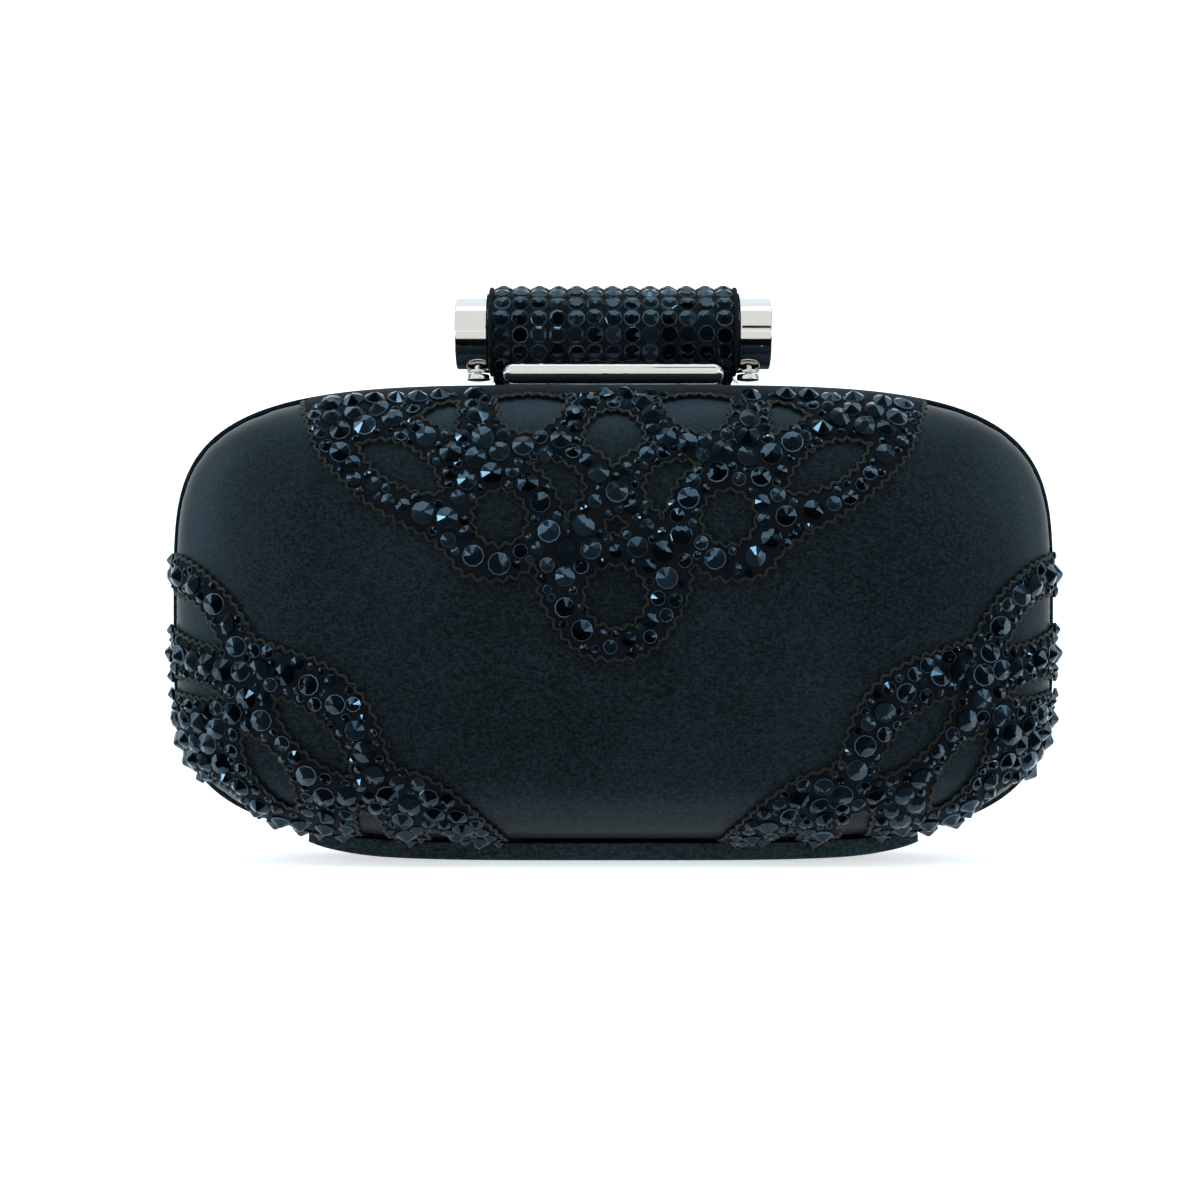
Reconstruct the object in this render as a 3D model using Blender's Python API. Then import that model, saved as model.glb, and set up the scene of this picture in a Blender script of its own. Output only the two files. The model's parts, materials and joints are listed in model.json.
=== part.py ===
"""Hard-shell clutch purse with beaded appliques and a tilting tube clasp.

X is the width, the front faces -Y and +Z is up. The origin is the middle of the
base, and the plane y = 0 splits the two halves. Sizes below are in millimetres.
"""

import math

import bmesh
import bpy
from mathutils import Vector
from mathutils.geometry import delaunay_2d_cdt

MM = 0.001

# Outline of the rim: a superellipse
HALF_WIDTH = 89.5
RIM_LOW = 3.0
RIM_HIGH = 96.2
SQUARENESS = 4.2
HALF_HEIGHT = (RIM_HIGH - RIM_LOW) / 2
MID_Z = (RIM_HIGH + RIM_LOW) / 2
OUTLINE_POINTS = 36

# Domed halves: depth beyond the rim, and what each layer takes of it
DOME_DEPTH = 20.0
DOME_BASE = 3.9
DOME_RINGS = (1.0, 0.975, 0.9, 0.75, 0.5)
GAP = 0.3
COVER = (1.2, 1.6)
PADDING = (1.9, 2.6)
SHELL = (2.9, 4.5)
LINING = (4.8, 5.2)
APPLIQUE = (0.1, 0.9)

# Rim: a wrapped channel round a steel ring, as (radial, y) extents
RIM_FRONT = 0.15
RIM_DEPTH = 3.6
WRAP_WALL = 0.5
FRAME_RADIAL = (0.8, 2.8)

# Base hinge
HINGE_Z = 1.95
HINGE_LENGTH = 96.0
KNUCKLE_R = 0.85
KNUCKLE_HOLE_R = 0.6
HINGE_PIN_R = 0.35
KNUCKLES = 9
LEAF_Z = (2.2, 2.75)
LEAF_REACH = 7.0
STRIP_LENGTH = 123.0
STRIP_HALF_DEPTH = 8.0
STRIP_WALL = 0.75
STRIP_FLAT = 45.0
STRIP_LIFT = 1.5

# Clasp tube and its fittings
TUBE_Y = 2.0
TUBE_Z = 107.6
CORE_R = (5.0, 6.0)
CORE_HALF = 30.8
SLEEVE_R = (6.3, 8.9)
SLEEVE_HALF = 24.3
COLLAR_R = (6.3, 9.2)
COLLAR_X = (24.6, 25.2)
CAP_R = 8.0
CAP_BORE_R = 6.3
CAP_X = (25.5, 32.2)
PIVOT_Y = 7.0
PIVOT_Z = 97.6
PIVOT_PIN_R = 0.6
PIVOT_HOLE_R = 0.9
LEG_X = (22.7, 24.2)
EAR_X = (21.3, 22.3)
PLATE_Z = (96.5, 97.0)
BRACKET_PLATE_Y = (0.6, 5.0)
RIVET_X = 14.0
RIVET_Y = 2.3
RIVET_R = 0.55
RIVET_HOLE_R = 0.85
BAR_HALF = 22.35
BAR_Z = (96.6, 100.5)
BAR_Y = (-7.2, -4.0)
KEEPER_PLATE_Y = (-4.6, -0.6)
KEEPER_HALF = 20.0
HOOK_HALF = 6.0
HOOK_Y = (-3.6, -2.6)
CAP_SCREW_X = 27.7
SCREW_HEAD_R = 2.4
SCREW_SHANK_R = 0.7

# Soft pieces inside
GUSSET_Z = (20.0, 76.0)
GUSSET_WIDTH = 14.0
GUSSET_HALF_Y = 1.2
GUSSET_INSET = 4.4
POCKET_HALF = 48.0
POCKET_Z = (18.0, 60.0)
POCKET = (5.9, 6.4)

FRONT, BACK = -1, 1


# ---------------------------------------------------------------- helpers


def clear_scene():
    for obj in list(bpy.data.objects):
        bpy.data.objects.remove(obj, do_unlink=True)


def make_material(name, colour, roughness, metallic=0.0):
    mat = bpy.data.materials.new(name)
    mat.use_nodes = True
    shader = mat.node_tree.nodes["Principled BSDF"]
    shader.inputs["Base Color"].default_value = (*colour, 1.0)
    shader.inputs["Roughness"].default_value = roughness
    shader.inputs["Metallic"].default_value = metallic
    mat.diffuse_color = (*colour, 1.0)
    return mat


def make_object(name, points, faces, material, origin=(0.0, 0.0, 0.0), smooth=True):
    """Makes one object from points in millimetres, its origin at the given place."""
    base = Vector(origin)
    mesh = bpy.data.meshes.new(name)
    mesh.from_pydata([tuple((Vector(p) - base) * MM) for p in points], [], faces)
    mesh.validate()
    bm = bmesh.new()
    bm.from_mesh(mesh)
    bmesh.ops.recalc_face_normals(bm, faces=bm.faces)
    if bm.calc_volume(signed=True) < 0:
        bmesh.ops.reverse_faces(bm, faces=bm.faces)
    bm.to_mesh(mesh)
    bm.free()
    if smooth:
        mesh.shade_smooth()
        mesh.set_sharp_from_angle(angle=math.radians(35))
    mesh.materials.append(material)
    obj = bpy.data.objects.new(name, mesh)
    obj.location = base * MM
    bpy.context.scene.collection.objects.link(obj)
    return obj


def make_cutter(name, points, faces):
    obj = make_object(name, points, faces, MATERIALS["cutter"], smooth=False)
    obj.hide_render = True
    obj.display_type = "WIRE"
    return obj


def combine(obj, other, operation):
    modifier = obj.modifiers.new(other.name, "BOOLEAN")
    modifier.operation = operation
    modifier.solver = "EXACT"
    modifier.object = other


def prism(polygon, low, high, axis):
    """Points and faces of a polygon extruded along an axis from low to high.

    The polygon's pairs are (y, z) for axis "x", (x, z) for "y" and (x, y) for "z".
    """
    order = {"x": lambda a, b, c: (c, a, b), "y": lambda a, b, c: (a, c, b), "z": lambda a, b, c: (a, b, c)}
    place = order[axis]
    count = len(polygon)
    points = [place(a, b, low) for a, b in polygon] + [place(a, b, high) for a, b in polygon]
    faces = [tuple(range(count)), tuple(range(count, 2 * count))[::-1]]
    for i in range(count):
        j = (i + 1) % count
        faces.append((i, j, count + j, count + i))
    return points, faces


def box(x, y, z):
    return prism([(x[0], y[0]), (x[1], y[0]), (x[1], y[1]), (x[0], y[1])], z[0], z[1], "z")


def circle(centre, radius, count):
    return [
        (
            centre[0] + radius * math.cos(2 * math.pi * i / count),
            centre[1] + radius * math.sin(2 * math.pi * i / count),
        )
        for i in range(count)
    ]


def turned(profile, centre, axis, count=20):
    """A profile of (radius, along) pairs, listed all the way round, turned about an axis."""
    order = {"x": lambda a, b, c: (c, a, b), "y": lambda a, b, c: (a, c, b), "z": lambda a, b, c: (a, b, c)}
    place = order[axis]
    points = []
    rings = []
    for radius, along in profile:
        if radius == 0.0:
            rings.append([len(points)] * count)
            points.append(place(centre[0], centre[1], along))
            continue
        rings.append(list(range(len(points), len(points) + count)))
        points += [place(a, b, along) for a, b in circle(centre, radius, count)]
    faces = []
    for k, ring in enumerate(rings):
        following = rings[(k + 1) % len(rings)]
        for i in range(count):
            j = (i + 1) % count
            corners = [ring[i], ring[j], following[j], following[i]]
            face = tuple(dict.fromkeys(corners))
            if len(face) > 2:
                faces.append(face)
    return points, faces


def rim_point(turn, inset):
    """Point of the rim outline, drawn in by an inset; turn runs from 0 to 1."""
    angle = 2 * math.pi * turn
    power = 2 / SQUARENESS
    c, s = math.cos(angle), math.sin(angle)
    x = (HALF_WIDTH - inset) * math.copysign(abs(c) ** power, c)
    z = MID_Z + (HALF_HEIGHT - inset) * math.copysign(abs(s) ** power, s)
    return x, z


def rim_x(z, inset):
    """Half-width of the outline at a height."""
    ratio = abs(z - MID_Z) / (HALF_HEIGHT - inset)
    return (HALF_WIDTH - inset) * (1 - ratio**SQUARENESS) ** (1 / SQUARENESS)


def dome_y(x, z, inset):
    """Distance of a dome layer from the split plane above a point of the outline's plane."""
    ratio = abs(x / (HALF_WIDTH - inset)) ** SQUARENESS
    ratio += abs((z - MID_Z) / (HALF_HEIGHT - inset)) ** SQUARENESS
    ratio = min(1.0, ratio) ** (4 / SQUARENESS)
    return DOME_BASE + (DOME_DEPTH + COVER[0] - inset) * (1 - ratio) ** (1 / 2.3)


def dome_layer(inset_out, inset_in, side):
    """Points and faces of one domed skin between two insets, open towards the mouth."""
    points = []
    faces = []
    surfaces = []
    for inset in (inset_out, inset_in):
        rings = []
        for ratio in DOME_RINGS:
            ring = []
            for i in range(OUTLINE_POINTS):
                x, z = rim_point((i + 0.5) / OUTLINE_POINTS, inset)
                x, z = x * ratio, MID_Z + (z - MID_Z) * ratio
                y = DOME_BASE if ratio == 1.0 else dome_y(x, z, inset)
                ring.append(len(points))
                points.append((x, side * y, z))
            rings.append(ring)
        tip = len(points)
        points.append((0.0, side * dome_y(0.0, MID_Z, inset), MID_Z))
        surfaces.append((rings, tip))
    for rings, tip in surfaces:
        for outer, inner in zip(rings, rings[1:]):
            for i in range(OUTLINE_POINTS):
                j = (i + 1) % OUTLINE_POINTS
                faces.append((outer[i], outer[j], inner[j], inner[i]))
        for i in range(OUTLINE_POINTS):
            faces.append((rings[-1][i], rings[-1][(i + 1) % OUTLINE_POINTS], tip))
    first, second = surfaces[0][0][0], surfaces[1][0][0]
    for i in range(OUTLINE_POINTS):
        j = (i + 1) % OUTLINE_POINTS
        faces.append((first[i], first[j], second[j], second[i]))
    return points, faces


def rim_ring(section, side):
    """A section of (inset, y) pairs swept round the outline."""
    points = []
    faces = []
    count = len(section)
    for i in range(OUTLINE_POINTS):
        for inset, y in section:
            x, z = rim_point((i + 0.5) / OUTLINE_POINTS, inset)
            points.append((x, side * y, z))
    for i in range(OUTLINE_POINTS):
        j = (i + 1) % OUTLINE_POINTS
        for k in range(count):
            m = (k + 1) % count
            faces.append((i * count + k, j * count + k, j * count + m, i * count + m))
    return points, faces


# ---------------------------------------------------------------- domed halves


def build_layer(name, insets, side, material, origin):
    return make_object(name, *dome_layer(*insets, side), MATERIALS[material], origin)


def build_frame(name, side, origin):
    low, high = FRAME_RADIAL
    section = [(low, 0.95), (low, RIM_DEPTH), (high, RIM_DEPTH), (high, 0.95)]
    obj = make_object(name, *rim_ring(section, side), MATERIALS["steel"], origin)
    drill_rivet_holes(obj, name, side)
    return obj


def build_rim_wrap(name, side, origin):
    inner = RIM_DEPTH
    section = [
        (0.0, RIM_FRONT),
        (0.0, RIM_DEPTH),
        (WRAP_WALL, RIM_DEPTH),
        (WRAP_WALL, RIM_FRONT + WRAP_WALL),
        (inner - WRAP_WALL, RIM_FRONT + WRAP_WALL),
        (inner - WRAP_WALL, RIM_DEPTH),
        (inner, RIM_DEPTH),
        (inner, RIM_FRONT),
    ]
    obj = make_object(name, *rim_ring(section, side), MATERIALS["satin"], origin)
    drill_rivet_holes(obj, name, side)
    return obj


def drill_rivet_holes(obj, name, side):
    """Two holes down through the top of the rim for the rivets of the clasp fittings."""
    for x in (-RIVET_X, RIVET_X):
        tool = circle((x, side * RIVET_Y), RIVET_HOLE_R, 12)
        cutter = make_cutter(f"{name}_hole_{'l' if x < 0 else 'r'}", *prism(tool, 93.25, 98.0, "z"))
        combine(obj, cutter, "DIFFERENCE")


def build_rivet(name, x, side, origin):
    """Domed head above the plate, and a shank down into the frame ring."""
    profile = [
        (0.0, 93.7),
        (RIVET_R, 93.7),
        (RIVET_R, 97.3),
        (1.5, 97.3),
        (1.35, 97.8),
        (0.8, 98.1),
        (0.0, 98.2),
    ]
    return make_object(
        name, *turned(profile, (x, side * RIVET_Y), "z", 12), MATERIALS["chrome"], origin
    )


# ---------------------------------------------------------------- appliques


def mirrored(points):
    return [(-x, z) for x, z in points]


def scallop(ends, bulges, steps=4):
    """A line of outward arcs between the given end points, each with its own bulge."""
    out = []
    for (a, b), bulge in zip(zip(ends, ends[1:]), bulges):
        a, b = Vector(a), Vector(b)
        across = (b - a).orthogonal().normalized()
        for k in range(steps):
            t = k / steps
            out.append(tuple(a.lerp(b, t) + across * bulge * 4 * t * (1 - t)))
    return out


def leaf(tip_a, tip_b, width, steps=5):
    """A pointed leaf-shaped opening between two tips."""
    a, b = Vector(tip_a), Vector(tip_b)
    across = (b - a).orthogonal().normalized() * width / 2
    side = [math.sin(math.pi * k / steps) for k in range(steps)]
    first = [tuple(a.lerp(b, k / steps) + across * side[k]) for k in range(steps)]
    second = [tuple(b.lerp(a, k / steps) - across * side[k]) for k in range(steps)]
    return first + second


def top_outline():
    """The cascading outline below the top edge, left half from the rim to the lowest tip."""
    half = [
        (-64.0, 97.0),
        (-61.0, 89.0),
        (-57.8, 82.0),
        (-54.6, 78.0),
        (-48.0, 71.4),
        (-42.8, 67.8),
        (-37.6, 65.2),
        (-33.0, 62.6),
        (-29.4, 58.4),
        (-23.6, 56.4),
        (-18.0, 57.3),
        (-15.4, 58.8),
        (-14.3, 54.0),
        (-12.4, 50.0),
        (-9.8, 45.6),
        (-5.8, 42.2),
        (0.0, 40.8),
    ]
    return half + mirrored(half[:-1])[::-1]


def top_openings():
    """Openings of the top applique that show the satin."""
    side = [
        circle((-22.0, 68.2), 5.3, 12),
        [(-23.2, 90.6), (-8.6, 91.2), (-11.6, 86.8), (-16.8, 84.8), (-21.6, 86.6)],
        leaf((-49.8, 83.0), (-33.0, 73.0), 7.0),
        [(-37.6, 88.4), (-31.0, 90.8), (-30.4, 84.6)],
        [(-16.6, 78.8), (-9.2, 78.4), (-5.7, 74.6), (-9.4, 68.6), (-11.6, 74.0)],
    ]
    middle = [
        circle((0.2, 53.0), 6.0, 12),
        [(0.0, 78.0), (4.4, 81.2), (6.2, 84.2), (4.0, 88.2), (-4.0, 88.2), (-6.2, 84.2), (-4.4, 81.2)],
    ]
    return side + [mirrored(shape)[::-1] for shape in side] + middle


def corner_outline():
    """The left corner applique: along its scalloped inner edge, then round outside the rim."""
    return [
        (-95.0, 61.0),
        (-89.3, 61.0),
        (-82.2, 57.6),
        (-76.2, 52.4),
        (-71.2, 45.4),
        (-67.0, 42.8),
        (-60.0, 40.8),
        (-53.0, 37.2),
        (-48.4, 32.0),
        (-45.6, 26.0),
        (-43.2, 20.4),
        (-37.0, 18.4),
        (-30.2, 14.0),
        (-21.7, 5.0),
        (-18.5, 0.0),
        (-95.0, 0.0),
    ]


def corner_openings():
    return [
        [(-87.0, 50.6), (-80.6, 49.6), (-76.4, 42.8), (-82.0, 43.6), (-87.2, 46.4)],
        [(-87.0, 36.8), (-81.0, 36.2), (-76.2, 33.2), (-87.0, 33.8)],
        leaf((-66.0, 33.8), (-51.0, 18.2), 6.6),
        leaf((-71.8, 26.8), (-62.6, 11.6), 6.0),
        [(-81.2, 16.0), (-76.0, 15.4), (-73.0, 8.6), (-79.0, 11.6)],
        [(-50.2, 11.6), (-46.8, 10.2), (-44.2, 5.6), (-49.6, 5.6)],
    ]


def signed_area(points):
    return sum(
        a[0] * b[1] - b[0] * a[1] for a, b in zip(points, points[1:] + points[:1])
    ) / 2


def pierced_prism(outline, openings, low, high):
    """Points and faces of a flat outline with openings, extruded along Y."""
    loops = [outline if signed_area(outline) > 0 else outline[::-1]]
    loops += [hole if signed_area(hole) < 0 else hole[::-1] for hole in openings]
    flat = [point for loop in loops for point in loop]
    edges = []
    at = 0
    for loop in loops:
        count = len(loop)
        edges += [(at + i, at + (i + 1) % count) for i in range(count)]
        at += count
    verts, _, tris, *_ = delaunay_2d_cdt([Vector(p) for p in flat], edges, [], 0, 1e-5)
    inside = []
    for tri in tris:
        middle = sum((verts[i] for i in tri), Vector((0.0, 0.0))) / 3
        crossings = 0
        for a, b in edges:
            (ax, az), (bx, bz) = flat[a], flat[b]
            if (az > middle.y) != (bz > middle.y):
                if middle.x < ax + (middle.y - az) * (bx - ax) / (bz - az):
                    crossings += 1
        if crossings % 2:
            inside.append(tuple(tri))
    count = len(verts)
    points = [(v.x, low, v.y) for v in verts] + [(v.x, high, v.y) for v in verts]
    faces = inside + [tuple(i + count for i in tri)[::-1] for tri in inside]
    faces += [(a, b, b + count, a + count) for a, b in edges]
    return points, faces


def build_applique(name, outline, openings, origin):
    """A skin just above the satin, kept only inside its pierced outline."""
    obj = make_object(name, *dome_layer(*APPLIQUE, FRONT), MATERIALS["beads"], origin)
    tool = pierced_prism(outline, openings, -30.0, -DOME_BASE - 0.35)
    combine(obj, make_cutter(name + "_outline", *tool), "INTERSECT")
    return obj


# ---------------------------------------------------------------- base hinge


def knuckle_spans(offset):
    pitch = HINGE_LENGTH / KNUCKLES
    return [
        (-HINGE_LENGTH / 2 + k * pitch + 0.2, -HINGE_LENGTH / 2 + (k + 1) * pitch - 0.2)
        for k in range(offset, KNUCKLES, 2)
    ]


def build_hinge_leaf(name, side, offset, origin):
    """A flat leaf with its knuckles, bored for the pin in one pass."""
    half = HINGE_LENGTH / 2
    leaf_y = sorted((side * (KNUCKLE_R + GAP), side * LEAF_REACH))
    obj = make_object(name, *box((-half, half), leaf_y, LEAF_Z), MATERIALS["steel"], origin)
    for k, (low, high) in enumerate(knuckle_spans(offset)):
        barrel = prism(circle((0.0, HINGE_Z), KNUCKLE_R, 14), low, high, "x")
        combine(obj, make_cutter(f"{name}_barrel_{k}", *barrel), "UNION")
        tab = box((low, high), sorted((side * 0.3, side * 2.0)), (LEAF_Z[0] + 0.02, LEAF_Z[1] - 0.02))
        combine(obj, make_cutter(f"{name}_tab_{k}", *tab), "UNION")
    bore = prism(circle((0.0, HINGE_Z), KNUCKLE_HOLE_R, 14), -half - 2, half + 2, "x")
    combine(obj, make_cutter(name + "_bore", *bore), "DIFFERENCE")
    return obj


def build_hinge_pin():
    half = HINGE_LENGTH / 2
    rod = prism(circle((0.0, HINGE_Z), HINGE_PIN_R, 10), -half, half, "x")
    return make_object("hinge_pin", *rod, MATERIALS["steel"])


def strip_lift(x):
    over = max(0.0, abs(x) - STRIP_FLAT) / (STRIP_LENGTH / 2 - STRIP_FLAT)
    return STRIP_LIFT * over**2


def build_hinge_cover():
    """A channel of doubled satin under the hinge, flat in the middle and lifting at its ends."""
    stations = [-61.5, -56.0, -50.5, -45.0, -15.0, 15.0, 45.0, 50.5, 56.0, 61.5]
    half, wall, top = STRIP_HALF_DEPTH, STRIP_WALL, 2.6
    section = [
        (-half, 0.0),
        (half, 0.0),
        (half, top),
        (half - wall, top),
        (half - wall, wall),
        (-half + wall, wall),
        (-half + wall, top),
        (-half, top),
    ]
    points = []
    faces = []
    count = len(section)
    for x in stations:
        points += [(x, y, z + strip_lift(x)) for y, z in section]
    for i in range(len(stations) - 1):
        for k in range(count):
            m = (k + 1) % count
            faces.append((i * count + k, (i + 1) * count + k, (i + 1) * count + m, i * count + m))
    last = (len(stations) - 1) * count
    faces += [tuple(range(count)), tuple(range(last, last + count))]
    return make_object("hinge_cover", points, faces, MATERIALS["satin"])


# ---------------------------------------------------------------- soft pieces inside


def build_gusset(name, hand):
    """A side gusset folded flat between the halves, bound along its outer edge."""
    heights = [GUSSET_Z[0] + (GUSSET_Z[1] - GUSSET_Z[0]) * k / 6 for k in range(7)]
    outer = [(hand * rim_x(z, GUSSET_INSET), z) for z in heights]
    inner = [(x - hand * GUSSET_WIDTH * (0.55 + 0.45 * k / 6), z) for k, (x, z) in enumerate(outer)]
    return make_object(
        name,
        *prism(outer + inner[::-1], -GUSSET_HALF_Y, GUSSET_HALF_Y, "y"),
        MATERIALS["lining"],
        smooth=False,
    )


def build_slip_pocket():
    """A lining patch that follows the inside of the back half."""
    columns, rows = 8, 5
    points = []
    for inset in POCKET:
        for i in range(columns + 1):
            x = POCKET_HALF * (2 * i / columns - 1)
            for j in range(rows + 1):
                z = POCKET_Z[0] + (POCKET_Z[1] - POCKET_Z[0]) * j / rows
                points.append((x, dome_y(x, z, inset), z))
    per = (columns + 1) * (rows + 1)
    faces = []
    for layer in (0, per):
        for i in range(columns):
            for j in range(rows):
                a = layer + i * (rows + 1) + j
                faces.append((a, a + rows + 1, a + rows + 2, a + 1))
    rim = [i * (rows + 1) for i in range(columns + 1)]
    rim += [columns * (rows + 1) + j for j in range(1, rows + 1)]
    rim += [i * (rows + 1) + rows for i in range(columns - 1, -1, -1)]
    rim += [j for j in range(rows - 1, 0, -1)]
    for a, b in zip(rim, rim[1:] + rim[:1]):
        faces.append((a, b, b + per, a + per))
    return make_object("slip_pocket", points, faces, MATERIALS["lining"])


# ---------------------------------------------------------------- clasp


def build_bracket():
    """Plate on the back rim with two ears that carry the pivot pin."""
    plate = box((-EAR_X[1], EAR_X[1]), BRACKET_PLATE_Y, PLATE_Z)
    obj = make_object("clasp_bracket", *plate, MATERIALS["steel"])
    ear = [(2.0, 96.52), (7.9, 96.3), (8.5, 97.0), (8.5, 98.3), (7.9, 98.9), (6.0, 98.9), (5.6, 98.4), (5.4, 97.2), (2.0, 96.98)]
    for x0, x1, tag in ((-EAR_X[1], -EAR_X[0], "l"), (EAR_X[0], EAR_X[1], "r")):
        combine(obj, make_cutter("bracket_ear_" + tag, *prism(ear, x0, x1, "x")), "UNION")
    bore = prism(circle((PIVOT_Y, PIVOT_Z), PIVOT_HOLE_R, 14), -30.0, 30.0, "x")
    combine(obj, make_cutter("bracket_bore", *bore), "DIFFERENCE")
    drill_rivet_holes(obj, "clasp_bracket", BACK)
    return obj


def build_pivot_pin():
    rod = prism(circle((PIVOT_Y, PIVOT_Z), PIVOT_PIN_R, 12), -LEG_X[1] + 0.1, LEG_X[1] - 0.1, "x")
    return make_object("clasp_pivot_pin", *rod, MATERIALS["steel"])


def build_clasp_spring():
    profile = [(0.9, -20.9), (1.5, -20.9), (1.5, -9.0), (0.9, -9.0)]
    return make_object(
        "clasp_spring", *turned(profile, (PIVOT_Y, PIVOT_Z), "x", 14), MATERIALS["steel"]
    )


def build_keeper(origin):
    """Rounded bar in front of the clasp, on a plate riveted to the front rim."""
    middle = (BAR_Z[0] + BAR_Z[1]) / 2
    radius = (BAR_Z[1] - BAR_Z[0]) / 2
    outline = []
    for hand in (1, -1):
        for k in range(7):
            angle = hand * math.pi / 2 - k * math.pi / 6 * 1.0
            x = hand * (BAR_HALF - radius) + radius * math.cos(angle)
            outline.append((x, middle + radius * math.sin(angle)))
    obj = make_object(
        "keeper_bar", *prism(outline, BAR_Y[0], BAR_Y[1], "y"), MATERIALS["chrome"], origin
    )
    plate = box((-KEEPER_HALF, KEEPER_HALF), KEEPER_PLATE_Y, (PLATE_Z[0] + 0.15, PLATE_Z[1]))
    combine(obj, make_cutter("keeper_plate", *plate), "UNION")
    drill_rivet_holes(obj, "keeper_bar", FRONT)
    return obj


def clasp_origin():
    return (0.0, PIVOT_Y, PIVOT_Z)


def build_tube_piece(name, profile, material, count=28):
    return make_object(
        name,
        *turned(profile, (TUBE_Y, TUBE_Z), "x", count),
        MATERIALS[material],
        clasp_origin(),
    )


def build_core():
    low, high = CORE_R
    profile = [(low, -CORE_HALF), (low, CORE_HALF), (high, CORE_HALF), (high, -CORE_HALF)]
    obj = build_tube_piece("clasp_core", profile, "steel", 20)
    for tag, x in (("l", -CAP_SCREW_X), ("r", CAP_SCREW_X)):
        hole = prism(circle((x, TUBE_Y - 2.6), SCREW_SHANK_R + GAP, 10), 96.0, TUBE_Z, "z")
        combine(obj, make_cutter("core_hole_" + tag, *hole), "DIFFERENCE")
    return obj


def build_sleeve():
    """Sleeve with slots underneath, where the legs and the tongue reach the tube."""
    low, high = SLEEVE_R
    half = SLEEVE_HALF
    profile = [(low, -half), (low, half), (high - 0.4, half), (high, half - 0.5), (high, -half + 0.5), (high - 0.4, -half)]
    obj = build_tube_piece("bead_sleeve", profile, "beads")
    slots = [
        ((-30.0, -LEG_X[0] + GAP), (-0.9, 4.9), (96.0, 102.6)),
        ((LEG_X[0] - GAP, 30.0), (-0.9, 4.9), (96.0, 102.6)),
        ((-HOOK_HALF - GAP, HOOK_HALF + GAP), (HOOK_Y[0] - GAP, HOOK_Y[1] + GAP), (96.0, 104.9)),
    ]
    for k, slot in enumerate(slots):
        combine(obj, make_cutter(f"sleeve_slot_{k}", *box(*slot)), "DIFFERENCE")
    return obj


def build_collar(name, hand):
    low, high = COLLAR_R
    x0, x1 = sorted((hand * COLLAR_X[0], hand * COLLAR_X[1]))
    return build_tube_piece(name, [(low, x0), (low, x1), (high, x1), (high, x0)], "beads", 24)


def build_cap(name, hand):
    """Closed cup over the tube's end, with a rounded outer edge and a screw hole below."""
    x0, x1 = hand * CAP_X[0], hand * CAP_X[1]
    profile = [
        (0.0, x1),
        (CAP_R - 1.4, x1),
        (CAP_R - 0.5, x1 - hand * 0.35),
        (CAP_R, x1 - hand * 1.2),
        (CAP_R, x0 + hand * 0.4),
        (CAP_R - 0.3, x0),
        (CAP_BORE_R, x0),
        (CAP_BORE_R, x1 - hand * 1.0),
        (0.0, x1 - hand * 1.0),
    ]
    obj = build_tube_piece(name, profile, "chrome")
    hole = prism(circle((hand * CAP_SCREW_X, TUBE_Y - 2.6), SCREW_SHANK_R + GAP, 10), 96.0, TUBE_Z, "z")
    combine(obj, make_cutter(name + "_hole", *hole), "DIFFERENCE")
    return obj


def build_leg(name, hand):
    """Flat wrapped leg from the tube's core down and back to the pivot pin."""
    outline = [
        (-1.0, 96.9),
        (5.2, 96.9),
        (5.7, 96.1),
        (8.2, 96.1),
        (8.8, 96.8),
        (8.8, 98.6),
        (8.0, 99.2),
        (5.8, 98.9),
        (4.5, 98.5),
        (4.5, 101.2),
        (-0.5, 101.2),
        (-0.5, 98.5),
        (-1.0, 98.4),
    ]
    x0, x1 = sorted((hand * LEG_X[0], hand * LEG_X[1]))
    obj = make_object(
        name, *prism(outline, x0, x1, "x"), MATERIALS["satin"], clasp_origin(), smooth=False
    )
    bore = prism(circle((PIVOT_Y, PIVOT_Z), PIVOT_HOLE_R, 14), x0 - 1, x1 + 1, "x")
    combine(obj, make_cutter(name + "_bore", *bore), "DIFFERENCE")
    return obj


def build_hook():
    """Tongue that drops behind the keeper bar, with a thickened foot."""
    y0, y1 = HOOK_Y
    outline = [(y0, 97.7), (y1 - 0.2, 97.5), (y1, 97.8), (y1, 103.5), (y0 + 0.1, 103.0), (y0 + 0.1, 99.0), (y0, 98.8)]
    return make_object(
        "catch_hook", *prism(outline, -HOOK_HALF, HOOK_HALF, "x"), MATERIALS["steel"], clasp_origin()
    )


def build_cap_screw(name, hand):
    """Domed screw up through the washer, the cap and the core."""
    centre = (hand * CAP_SCREW_X, TUBE_Y - 2.6)
    profile = [
        (0.0, 97.0),
        (1.3, 97.15),
        (2.1, 97.6),
        (SCREW_HEAD_R, 98.2),
        (SCREW_HEAD_R, 98.5),
        (SCREW_SHANK_R, 98.5),
        (SCREW_SHANK_R, 103.4),
        (0.0, 103.4),
    ]
    return make_object(
        name, *turned(profile, centre, "z", 18), MATERIALS["chrome"], clasp_origin()
    )


def build_cap_washer(name, hand):
    centre = (hand * CAP_SCREW_X, TUBE_Y - 2.6)
    inner, outer = SCREW_SHANK_R + GAP, SCREW_HEAD_R
    profile = [(inner, 98.8), (outer - 0.15, 98.8), (outer, 99.0), (outer, 99.3), (outer - 0.15, 99.45), (inner, 99.45)]
    return make_object(
        name, *turned(profile, centre, "z", 18), MATERIALS["chrome"], clasp_origin()
    )


# ---------------------------------------------------------------- assembly

MATERIALS = {}


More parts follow.
